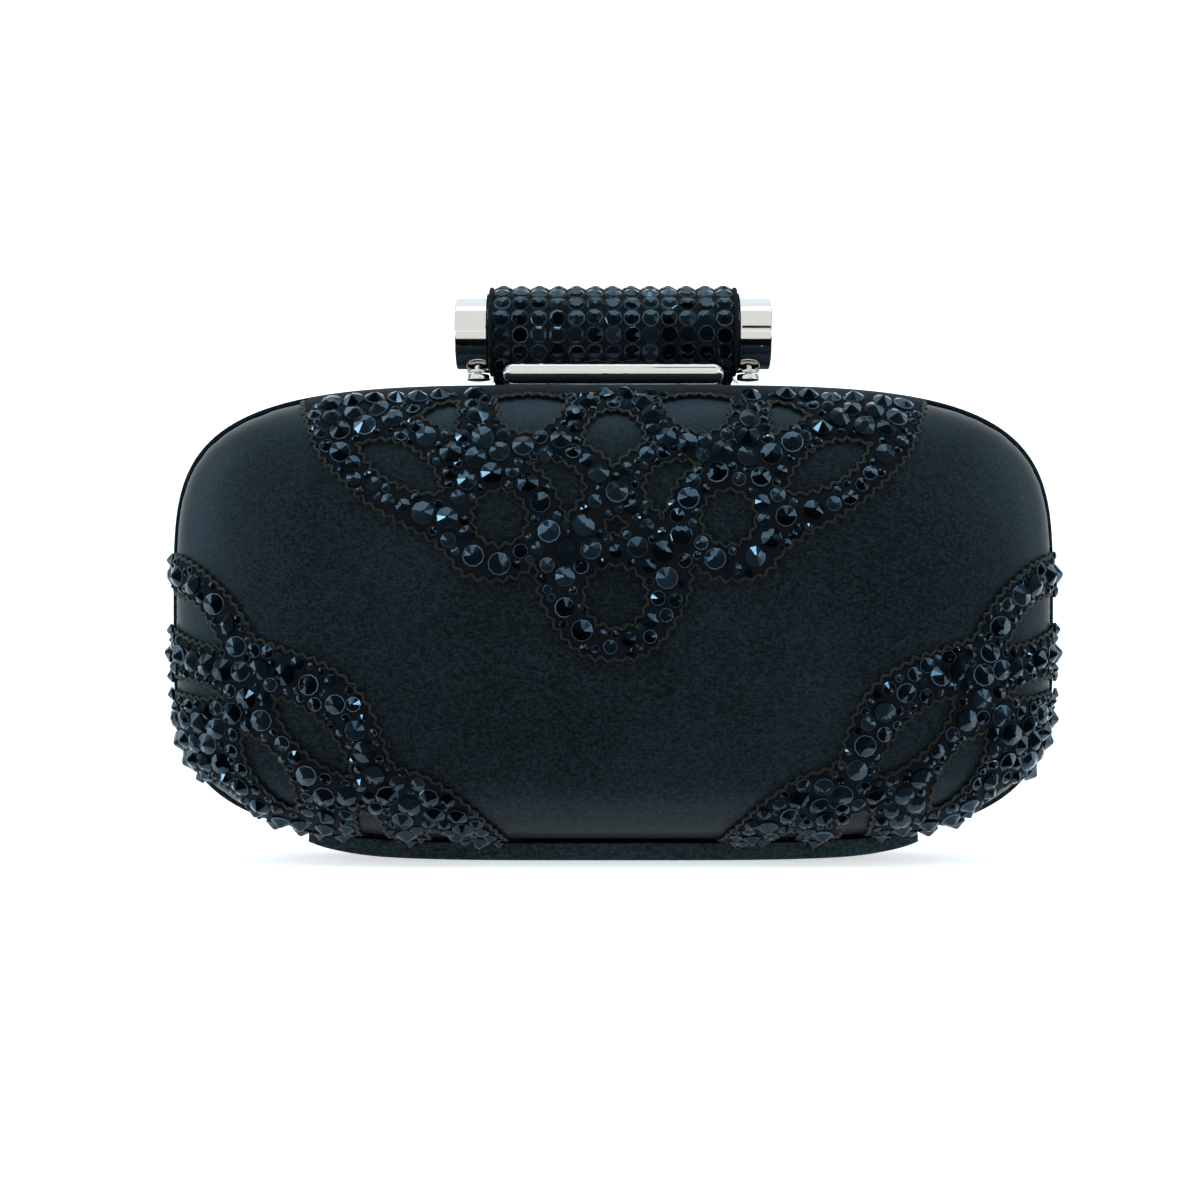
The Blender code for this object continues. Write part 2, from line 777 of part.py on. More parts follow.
def make_materials():
    table = {
        "satin": ((0.013, 0.022, 0.030), 0.45, 0.0),
        "lining": ((0.020, 0.022, 0.026), 0.55, 0.0),
        "foam": ((0.35, 0.34, 0.30), 0.95, 0.0),
        "shell": ((0.08, 0.08, 0.08), 0.6, 0.0),
        "beads": ((0.010, 0.010, 0.012), 0.2, 0.0),
        "steel": ((0.45, 0.45, 0.45), 0.35, 1.0),
        "chrome": ((0.80, 0.81, 0.82), 0.08, 1.0),
        "cutter": ((0.8, 0.2, 0.2), 0.5, 0.0),
    }
    for name, (colour, roughness, metallic) in table.items():
        MATERIALS[name] = make_material(name, colour, roughness, metallic)


def build_half(word, side, origin):
    build_layer(word + "_cover", COVER, side, "satin", origin)
    build_layer(word + "_padding", PADDING, side, "foam", origin)
    build_layer(word + "_shell", SHELL, side, "shell", origin)
    build_layer(word + "_lining", LINING, side, "lining", origin)
    build_frame(word + "_frame", side, origin)
    build_rim_wrap(word + "_rim_wrap", side, origin)


def build_back():
    origin = (0.0, 0.0, 0.0)
    build_half("back", BACK, origin)
    build_slip_pocket()
    build_hinge_leaf("back_hinge_leaf", BACK, 0, origin)
    build_hinge_pin()
    build_hinge_cover()
    build_bracket()
    build_pivot_pin()
    build_clasp_spring()
    build_rivet("bracket_rivet_left", -RIVET_X, BACK, origin)
    build_rivet("bracket_rivet_right", RIVET_X, BACK, origin)
    build_gusset("left_gusset", -1)
    build_gusset("right_gusset", 1)


def build_front():
    origin = (0.0, 0.0, HINGE_Z)
    build_half("front", FRONT, origin)
    build_applique("top_applique", top_outline(), top_openings(), origin)
    corner, holes = corner_outline(), corner_openings()
    build_applique("left_applique", corner, holes, origin)
    build_applique("right_applique", mirrored(corner), [mirrored(h) for h in holes], origin)
    build_hinge_leaf("front_hinge_leaf", FRONT, 1, origin)
    build_keeper(origin)
    build_rivet("keeper_rivet_left", -RIVET_X, FRONT, origin)
    build_rivet("keeper_rivet_right", RIVET_X, FRONT, origin)


def build_clasp():
    build_core()
    build_sleeve()
    for word, hand in (("left", -1), ("right", 1)):
        build_collar(word + "_collar", hand)
        build_cap(word + "_cap", hand)
        build_leg(word + "_leg", hand)
        build_cap_screw(word + "_cap_screw", hand)
        build_cap_washer(word + "_cap_washer", hand)
    build_hook()


def main():
    clear_scene()
    make_materials()
    build_back()
    build_front()
    build_clasp()


main()
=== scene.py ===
"""Studio model of a hard-shell evening clutch with beaded appliques and a tube clasp.

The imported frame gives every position. X is the width, the front faces -Y and +Z is
up. Sizes inside the classes are in millimetres; meshes are made in metres.
"""

from __future__ import annotations

import json
import logging
import math
from dataclasses import dataclass, field
from enum import Enum
from typing import Any, Sequence

import bpy
import numpy as np
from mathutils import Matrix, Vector
from mathutils.geometry import delaunay_2d_cdt
from mathutils.kdtree import KDTree

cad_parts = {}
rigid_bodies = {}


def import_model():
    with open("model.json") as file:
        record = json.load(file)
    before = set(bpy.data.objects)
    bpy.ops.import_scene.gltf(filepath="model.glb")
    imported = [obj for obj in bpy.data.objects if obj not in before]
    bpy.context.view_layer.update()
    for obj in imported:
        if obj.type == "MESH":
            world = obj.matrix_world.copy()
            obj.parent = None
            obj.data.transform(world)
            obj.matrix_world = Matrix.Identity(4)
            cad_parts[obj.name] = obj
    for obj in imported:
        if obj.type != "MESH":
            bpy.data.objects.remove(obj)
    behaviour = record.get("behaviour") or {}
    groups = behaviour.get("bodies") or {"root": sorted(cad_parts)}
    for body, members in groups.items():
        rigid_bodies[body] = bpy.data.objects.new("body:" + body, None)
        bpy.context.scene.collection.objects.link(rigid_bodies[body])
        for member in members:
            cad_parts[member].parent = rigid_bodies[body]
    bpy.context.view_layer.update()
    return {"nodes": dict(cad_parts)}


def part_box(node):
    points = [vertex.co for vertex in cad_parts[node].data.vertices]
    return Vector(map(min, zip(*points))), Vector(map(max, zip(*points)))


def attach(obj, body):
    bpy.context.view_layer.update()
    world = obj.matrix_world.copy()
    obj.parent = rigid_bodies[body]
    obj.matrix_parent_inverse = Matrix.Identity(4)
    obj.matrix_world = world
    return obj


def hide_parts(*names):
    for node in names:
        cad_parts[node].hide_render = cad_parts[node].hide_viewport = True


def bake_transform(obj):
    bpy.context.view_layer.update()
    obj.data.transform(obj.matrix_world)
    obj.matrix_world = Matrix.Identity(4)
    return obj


LOG = logging.getLogger("clutch")
MM = 0.001

Points = np.ndarray
Faces = list[tuple[int, ...]]
Pair = tuple[float, float]


class Side(Enum):
    """Half of the purse, by the sign of its Y."""

    FRONT = -1
    BACK = 1


class Hand(Enum):
    """Left or right, by the sign of X."""

    LEFT = -1
    RIGHT = 1


class Body(str, Enum):
    """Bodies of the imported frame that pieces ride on."""

    BACK = "back_half"
    FRONT = "front_half"
    CLASP = "clasp"


class Slot(str, Enum):
    """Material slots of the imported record."""

    SATIN = "satin"
    LINING = "lining"
    FOAM = "foam"
    BOARD = "board"
    BEADWORK = "beadwork"
    STEEL = "steel"
    CHROME = "chrome"


# ------------------------------------------------------------------ small tools


def to_linear(code: str) -> tuple[float, float, float, float]:
    """Turns an sRGB hex colour into a linear one.

    Args:
        code: Colour such as "#1b2a33".

    Returns:
        Red, green, blue and an alpha of 1.
    """
    parts = [int(code[i : i + 2], 16) / 255 for i in (1, 3, 5)]
    linear = [c / 12.92 if c <= 0.04045 else ((c + 0.055) / 1.055) ** 2.4 for c in parts]
    return linear[0], linear[1], linear[2], 1.0


def add_node(
    tree: bpy.types.NodeTree, kind: str, inputs: dict[Any, Any] | None = None, **settings: Any
) -> bpy.types.Node:
    """Adds a node with its settings, values and links.

    Args:
        tree: Node tree that takes the node.
        kind: Blender's type name of the node.
        inputs: Input name or number to a value, or to an output socket to link.
        **settings: Attributes of the node itself.

    Returns:
        The new node.
    """
    node = tree.nodes.new(kind)
    for name, value in settings.items():
        setattr(node, name, value)
    for name, value in (inputs or {}).items():
        if isinstance(value, bpy.types.NodeSocket):
            tree.links.new(value, node.inputs[name])
        else:
            node.inputs[name].default_value = value
    return node


def make_piece(
    name: str, points: Points, faces: Faces, material: bpy.types.Material, smooth: bool = True
) -> bpy.types.Object:
    """Makes a mesh object from points in millimetres.

    Args:
        name: Name of the piece.
        points: Array of n by 3 coordinates.
        faces: Point numbers of each face.
        material: Finish of the whole piece.
        smooth: Whether its faces are shaded smooth.

    Returns:
        The linked object.
    """
    mesh = bpy.data.meshes.new(name)
    mesh.from_pydata((np.asarray(points, float) * MM).tolist(), [], faces)
    mesh.validate()
    if smooth:
        mesh.shade_smooth()
        mesh.set_sharp_from_angle(angle=math.radians(50))
    mesh.materials.append(material)
    piece = bpy.data.objects.new(name, mesh)
    bpy.context.scene.collection.objects.link(piece)
    return piece


def mount_piece(
    piece: bpy.types.Object, body: Body, replaced: Sequence[str] = ()
) -> bpy.types.Object:
    """Lets a piece ride on a body, in place of the CAD nodes it stands for.

    Args:
        piece: The finished piece.
        body: Body that carries it.
        replaced: CAD nodes that it stands for.

    Returns:
        The same piece.
    """
    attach(piece, body.value)
    if replaced:
        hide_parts(*replaced)
    return piece


def grid_faces(rows: int, columns: int, close_rows: bool = False, close_columns: bool = False) -> Faces:
    """Quads of a grid whose points are listed row by row.

    Args:
        rows: Number of rows of points.
        columns: Points in each row.
        close_rows: Whether the last row joins the first.
        close_columns: Whether each row is a closed ring.

    Returns:
        The faces.
    """
    faces: Faces = []
    for i in range(rows if close_rows else rows - 1):
        for j in range(columns if close_columns else columns - 1):
            a, b = i * columns, ((i + 1) % rows) * columns
            m = (j + 1) % columns
            faces.append((a + j, a + m, b + m, b + j))
    return faces


def turned(profile: Sequence[Pair], centre: Pair, axis: str, steps: int = 96) -> tuple[Points, Faces]:
    """Turns a profile about an axis.

    Args:
        profile: Pairs of radius and place along the axis, in order.
        centre: The axis's place in the other two coordinates.
        axis: "x" for an axis along X, with centre as (y, z); "z" with centre as (x, y).
        steps: Points round the axis.

    Returns:
        Points and faces.
    """
    angle = np.linspace(0, 2 * math.pi, steps, endpoint=False)
    rows = []
    for radius, along in profile:
        a = centre[0] + radius * np.cos(angle)
        b = centre[1] + radius * np.sin(angle)
        c = np.full(steps, along)
        rows.append(np.stack([c, a, b] if axis == "x" else [a, b, c], axis=1))
    return np.concatenate(rows), grid_faces(len(profile), steps, close_columns=True)


def rounded(profile: Sequence[Pair], radius: float, closed: bool = False, steps: int = 4) -> list[Pair]:
    """Rounds the corners of a profile.

    Args:
        profile: Corner points.
        radius: Largest length that each corner takes from its sides.
        closed: Whether the profile is a loop.
        steps: Points on each corner.

    Returns:
        The denser profile.
    """
    pts = [np.array(p, float) for p in profile]
    count = len(pts)
    out: list[Pair] = []
    for i, p in enumerate(pts):
        if not closed and i in (0, count - 1):
            out.append((p[0], p[1]))
            continue
        before, after = pts[i - 1] - p, pts[(i + 1) % count] - p
        la, lb = np.linalg.norm(before), np.linalg.norm(after)
        take = min(radius, 0.45 * la, 0.45 * lb)
        a, b = p + before / la * take, p + after / lb * take
        bend = [(1 - t) ** 2 * a + 2 * t * (1 - t) * p + t**2 * b for t in np.linspace(0, 1, steps + 1)]
        # A point just outside each bend keeps the straight parts straight when the faces are smoothed.
        hold = (p + before / la * min(1.3 * take, 0.48 * la), p + after / lb * min(1.3 * take, 0.48 * lb))
        out += [(float(q[0]), float(q[1])) for q in (hold[0], *bend, hold[1])]
    return out


def tube_along(path: Points, radius: float, sides: int = 6, closed: bool = False) -> tuple[Points, Faces]:
    """Sweeps a round section along a path.

    Args:
        path: Points of the centre line.
        radius: Radius of the tube.
        sides: Points round it.
        closed: Whether the path is a loop.

    Returns:
        Points and faces.
    """
    if closed:
        ahead, behind = np.roll(path, -1, axis=0), np.roll(path, 1, axis=0)
    else:
        ahead = np.vstack([path[1:], path[-1:]])
        behind = np.vstack([path[:1], path[:-1]])
    tangent = ahead - behind
    tangent /= np.linalg.norm(tangent, axis=1, keepdims=True) + 1e-12
    guide = np.array([0.0, 1.0, 0.0])
    first = np.cross(tangent, guide)
    weak = np.linalg.norm(first, axis=1) < 0.2
    first[weak] = np.cross(tangent[weak], [1.0, 0.0, 0.3])
    first /= np.linalg.norm(first, axis=1, keepdims=True)
    second = np.cross(tangent, first)
    angle = np.linspace(0, 2 * math.pi, sides, endpoint=False)
    ring = np.cos(angle)[None, :, None] * first[:, None] + np.sin(angle)[None, :, None] * second[:, None]
    points = (path[:, None] + radius * ring).reshape(-1, 3)
    faces = grid_faces(len(path), sides, close_rows=closed, close_columns=True)
    if not closed:
        faces.append(tuple(range(sides))[::-1])
        last = (len(path) - 1) * sides
        faces.append(tuple(range(last, last + sides)))
    return points, faces


def joined(parts: Sequence[tuple[Points, Faces]]) -> tuple[Points, Faces]:
    """Lists several meshes as one.

    Args:
        parts: Points and faces of each.

    Returns:
        Points and faces of all.
    """
    points, faces, at = [], [], 0
    for more, more_faces in parts:
        points.append(more)
        faces += [tuple(i + at for i in face) for face in more_faces]
        at += len(more)
    return np.concatenate(points), faces


def even_points(line: Points, count: int, endpoint: bool = False) -> Points:
    """Spaces points evenly along a line.

    Args:
        line: Points of the line.
        count: How many points to return.
        endpoint: Whether its last point is one of them.

    Returns:
        The spaced points.
    """
    run = np.concatenate([[0], np.cumsum(np.linalg.norm(np.diff(line, axis=0), axis=1))])
    at = np.linspace(0, run[-1], count, endpoint=endpoint)
    return np.stack([np.interp(at, run, line[:, k]) for k in (0, 1)], axis=1)


def length_of(line: Points) -> float:
    """Length of a line of points."""
    return float(np.cumsum(np.linalg.norm(np.diff(line, axis=0), axis=1))[-1])


def nearest(points: Points) -> KDTree:
    """Search tree of flat points."""
    tree = KDTree(len(points))
    for i, (u, v) in enumerate(points):
        tree.insert((u, v, 0), i)
    tree.balance()
    return tree


def smooth_path(strokes: Sequence[Sequence[Pair]], step: float, closed: bool = True) -> Points:
    """Runs a smooth line through strokes, with a corner where two strokes meet.

    Args:
        strokes: Lists of points; each stroke starts where the one before it ends.
        step: Spacing of the points returned.
        closed: Whether the last stroke ends where the first one starts.

    Returns:
        Evenly spaced points of the line.
    """
    dense: list[np.ndarray] = []
    for stroke in strokes:
        p = np.array(stroke, float)
        loop = len(strokes) == 1 and closed
        if loop:
            ext = np.vstack([p[-1:], p, p[:2]])
        else:
            ext = np.vstack([2 * p[0] - p[1], p, 2 * p[-1] - p[-2]])
        for i in range(1, len(ext) - 2):
            a, b, c, d = ext[i - 1 : i + 3]
            t = np.linspace(0, 1, 24, endpoint=False)[:, None]
            dense.append(
                0.5 * (2 * b + (c - a) * t + (2 * a - 5 * b + 4 * c - d) * t**2 + (3 * b - a - 3 * c + d) * t**3)
            )
    if not closed:
        dense.append(np.array([strokes[-1][-1]], float))
    line = np.concatenate(dense)
    ring = np.vstack([line, line[:1]]) if closed else line
    return even_points(ring, max(8, int(length_of(ring) / step)), not closed)


def inside(points: Points, loop: Points) -> np.ndarray:
    """Tells which points lie inside a closed loop.

    Args:
        points: Array of n by 2.
        loop: Array of m by 2.

    Returns:
        One truth value for each point.
    """
    result = np.zeros(len(points), bool)
    x, y = points[:, 0], points[:, 1]
    for a, b in zip(loop, np.roll(loop, -1, axis=0)):
        if a[1] == b[1]:
            continue
        crosses = (a[1] > y) != (b[1] > y)
        result ^= crosses & (x < a[0] + (y - a[1]) * (b[0] - a[0]) / (b[1] - a[1]))
    return result


# ------------------------------------------------------------------ finishes


@dataclass(frozen=True)
class Recipe:
    """A material in the making, patterned by each piece's own coordinates."""

    material: bpy.types.Material
    where: bpy.types.NodeSocket

    @classmethod
    def start(cls, name: str) -> Recipe:
        """Opens a new material.

        Args:
            name: Name of the material.

        Returns:
            Its recipe.
        """
        material = bpy.data.materials.new(name)
        material.use_nodes = True
        return cls(material, add_node(material.node_tree, "ShaderNodeTexCoord").outputs["Object"])

    def _add(self, kind: str, inputs: dict[Any, Any], output: int | str = 0, **settings: Any) -> bpy.types.NodeSocket:
        """Adds a node and returns one of its outputs."""
        return add_node(self.material.node_tree, kind, inputs, **settings).outputs[output]

    def lie(self, **change: tuple[float, float, float]) -> bpy.types.NodeSocket:
        """Coordinates stretched by a Scale, or turned by a Rotation."""
        return self._add("ShaderNodeMapping", {"Vector": self.where, **change})

    def noise(
        self,
        size_mm: float,
        detail: float = 2.0,
        rough: float = 0.5,
        warp: float = 0.0,
        where: bpy.types.NodeSocket | None = None,
    ) -> bpy.types.NodeSocket:
        """Random lumps of a real size.

        Args:
            size_mm: Size of the lumps in millimetres.
            detail: Levels of finer lumps on them.
            rough: Strength of each finer level.
            warp: Distortion.
            where: Coordinates, if not the piece's own.

        Returns:
            The pattern.
        """
        place = self.where if where is None else where
        size = {"Vector": place, "Scale": 1 / (size_mm * MM)}
        return self._add(
            "ShaderNodeTexNoise", {**size, "Detail": detail, "Roughness": rough, "Distortion": warp}, "Fac"
        )

    def combine(self, operation: str, *values: Any) -> bpy.types.NodeSocket:
        """Combines values or patterns by a sum such as MULTIPLY."""
        return self._add("ShaderNodeMath", dict(enumerate(values)), operation=operation)

    def remap(self, value: bpy.types.NodeSocket, before: Pair, after: Pair = (0.0, 1.0)) -> bpy.types.NodeSocket:
        """Maps a pattern from one range to another."""
        ends = zip(("From Min", "From Max", "To Min", "To Max"), (*before, *after))
        return self._add("ShaderNodeMapRange", {"Value": value, **dict(ends)})

    def blend(self, share: bpy.types.NodeSocket, first: str, second: str) -> bpy.types.NodeSocket:
        """Blends two sRGB colours by a pattern."""
        ends = {0: share, 6: to_linear(first), 7: to_linear(second)}
        return self._add("ShaderNodeMix", ends, 2, data_type="RGBA")

    def relief(self, height: bpy.types.NodeSocket, strength: float, depth_mm: float) -> bpy.types.NodeSocket:
        """Raises a pattern above the surface."""
        return self._add("ShaderNodeBump", {"Height": height, "Strength": strength, "Distance": depth_mm * MM})

    def finish(self, values: dict[str, Any]) -> bpy.types.Material:
        """Sets the shader: patterns are linked and constants set on its sockets.

        Args:
            values: Input name to its value.

        Returns:
            The material.
        """
        tree = self.material.node_tree
        for name, value in values.items():
            socket = tree.nodes["Principled BSDF"].inputs[name]
            if isinstance(value, bpy.types.NodeSocket):
                tree.links.new(value, socket)
            else:
                socket.default_value = to_linear(value) if isinstance(value, str) else value
        return self.material


@dataclass(frozen=True)
class DuchesseSatin:
    """Black-teal polyester satin, woven: long floats give a soft sheen that rolls off at the edges."""

    name: str = "duchesse_satin"
    shade: str = "#0a0d0e"
    lit: str = "#212729"
    thread_mm: float = 0.32  # real threads are near 0.1 mm; drawn coarser so that the weave shows
    rough: float = 0.46
    relief: float = 0.2

    def build(self) -> bpy.types.Material:
        """Builds the material.

        Returns:
            The woven satin.
        """
        recipe = Recipe.start(self.name)
        floats = recipe.noise(self.thread_mm, 2.0, 0.7, where=recipe.lie(Scale=(0.3, 1.0, 1.0)))
        slub, broad = recipe.noise(0.6, 3.0), recipe.noise(45.0)
        weave = recipe.combine("MULTIPLY", floats, slub)
        tone = recipe.combine("MULTIPLY_ADD", broad, 0.25, weave)
        return recipe.finish(
            {
                "Base Color": recipe.blend(recipe.remap(tone, (0.26, 0.5)), self.shade, self.lit),
                "Roughness": recipe.remap(slub, (0.0, 1.0), (self.rough - 0.05, self.rough + 0.06)),
                "Normal": recipe.relief(weave, self.relief, 0.1),
                "IOR": 1.45,
                "Specular IOR Level": 0.27,
                "Specular Tint": "#a6cfec",
                "Sheen Weight": 0.05,
                "Sheen Roughness": 0.3,
                "Sheen Tint": "#9dbccb",
            }
        )


@dataclass(frozen=True)
class WoolFelt:
    """Needled felt: short matted fibres that scatter light, with no gloss."""

    name: str = "navy_black_felt"
    deep: str = "#030507"
    fibre: str = "#0b1117"
    fibre_mm: float = 0.35
    sheen: float = 0.1

    def build(self) -> bpy.types.Material:
        """Builds the material.

        Returns:
            The felt.
        """
        recipe = Recipe.start(self.name)
        mat = recipe.noise(self.fibre_mm, 4.0, 0.7, 0.8)
        return recipe.finish(
            {
                "Base Color": recipe.blend(mat, self.deep, self.fibre),
                "Normal": recipe.relief(mat, 0.5, 0.15),
                "Roughness": 0.92,
                "Specular IOR Level": 0.2,
                "Sheen Weight": self.sheen,
                "Sheen Roughness": 0.5,
                "Sheen Tint": "#7f9ab0",
            }
        )


@dataclass(frozen=True)
class TwistedThread:
    """Rayon thread, twisted and couched: fine slanting ridges with a dull shine."""

    name: str = "umber_thread"
    dark: str = "#12110d"
    light: str = "#29251b"
    twist_mm: float = 0.7
    rough: float = 0.6

    def build(self) -> bpy.types.Material:
        """Builds the material.

        Returns:
            The thread.
        """
        recipe = Recipe.start(self.name)
        wave = {
            "Vector": recipe.lie(Rotation=(0.4, 0.8, 0.2)),
            "Scale": math.pi / (10 * self.twist_mm * MM),
            "Distortion": 2.0,
            "Detail": 1.0,
        }
        strands = add_node(recipe.material.node_tree, "ShaderNodeTexWave", wave).outputs["Fac"]
        worn = recipe.remap(recipe.combine("MULTIPLY", strands, recipe.noise(3.0)), (0.0, 0.55))
        return recipe.finish(
            {
                "Base Color": recipe.blend(worn, self.dark, self.light),
                "Normal": recipe.relief(strands, 0.4, 0.1),
                "Roughness": self.rough,
            }
        )


@dataclass(frozen=True)
class JetGlass:
    """Cut jet glass: black, with sharp flat facets that mirror the lights one by one."""

    name: str = "cut_jet_glass"
    deep: str = "#020405"
    # Smoky colour: a faint random tone on the facets, and the painted highlight on the girdles.
    smoke_and_highlight: str = "#546573"
    rough: float = 0.06
    tone_attribute: str = "stone_tone"

    def build(self) -> bpy.types.Material:
        """Builds the material.

        Returns:
            The glass, its tone varied from stone to stone, with a painted highlight of paler girdles.
        """
        recipe = Recipe.start(self.name)
        tree = recipe.material.node_tree
        tone = add_node(tree, "ShaderNodeAttribute", attribute_name=self.tone_attribute).outputs["Fac"]
        return recipe.finish(
            {
                "Base Color": recipe.blend(tone, self.deep, self.smoke_and_highlight),
                "Roughness": recipe.remap(recipe.noise(1.5), (0.0, 1.0), (self.rough - 0.04, self.rough + 0.08)),
                "IOR": 1.52,
                "Specular IOR Level": 0.5,
                "Specular Tint": "#9fcbea",
            }
        )


@dataclass(frozen=True)
class PlatedMetal:
    """Plated or bare metal: polished it mirrors the room, brushed it shows a fine grain."""

    name: str
    colour: str
    rough: float
    grain_mm: float
    relief: float

    def build(self) -> bpy.types.Material:
        """Builds the material.

        Returns:
            The metal.
        """
        recipe = Recipe.start(self.name)
        grain = recipe.noise(self.grain_mm, 3.0, where=recipe.lie(Scale=(0.08, 1.0, 1.0)))
        wipe = recipe.combine("MULTIPLY", grain, recipe.noise(6.0))
        return recipe.finish(
            {
                "Base Color": self.colour,
                "Roughness": recipe.remap(wipe, (0.0, 0.5), (self.rough * 0.6, self.rough * 1.5)),
                "Normal": recipe.relief(grain, self.relief, 0.02),
                "Metallic": 1.0,
            }
        )


@dataclass(frozen=True)
class StudioPaper:
    """Seamless white background paper: matt and even."""

    name: str = "background_paper"
    colour: str = "#fbfbfb"
    glow: float = 0.62

    def build(self) -> bpy.types.Material:
        """Builds the material.

        Returns:
            The paper.
        """
        return Recipe.start(self.name).finish(
            {
                "Base Color": self.colour,
                "Roughness": 1.0,
                "Specular IOR Level": 0.0,
                "Emission Color": self.colour,
                "Emission Strength": self.glow,
            }
        )


@dataclass
class Finishes:
    """Every finish of the object, built once."""

    satin: bpy.types.Material = field(default_factory=lambda: DuchesseSatin().build())
    # A lighter copy of the satin for the base strip: painted light for the light its front catches from below and in
    # front.
    lit_base_satin: bpy.types.Material = field(
        default_factory=lambda: DuchesseSatin("duchesse_satin_doubled", "#171e21", "#38464c", 0.4, 0.5).build()
    )
    lining: bpy.types.Material = field(
        default_factory=lambda: DuchesseSatin("lining_twill", "#2b2d31", "#4a4d53", 0.6, 0.55, 0.25).build()
    )
    felt: bpy.types.Material = field(default_factory=lambda: WoolFelt().build())
    board: bpy.types.Material = field(
        default_factory=lambda: WoolFelt("pressed_fibreboard", "#3a3530", "#57504a", 0.8, 0.0).build()
    )
    umber: bpy.types.Material = field(default_factory=lambda: TwistedThread().build())
    black_thread: bpy.types.Material = field(
        default_factory=lambda: TwistedThread("black_thread", "#0b0c0e", "#1c1e22", 0.4).build()
    )
    jet: bpy.types.Material = field(default_factory=lambda: JetGlass().build())
    chrome: bpy.types.Material = field(
        default_factory=lambda: PlatedMetal("polished_chrome_plate", "#e9e8e4", 0.07, 0.3, 0.04).build()
    )
    steel: bpy.types.Material = field(
        default_factory=lambda: PlatedMetal("brushed_spring_steel", "#a7a9ab", 0.3, 0.2, 0.15).build()
    )


# ------------------------------------------------------------------ shape of the shell


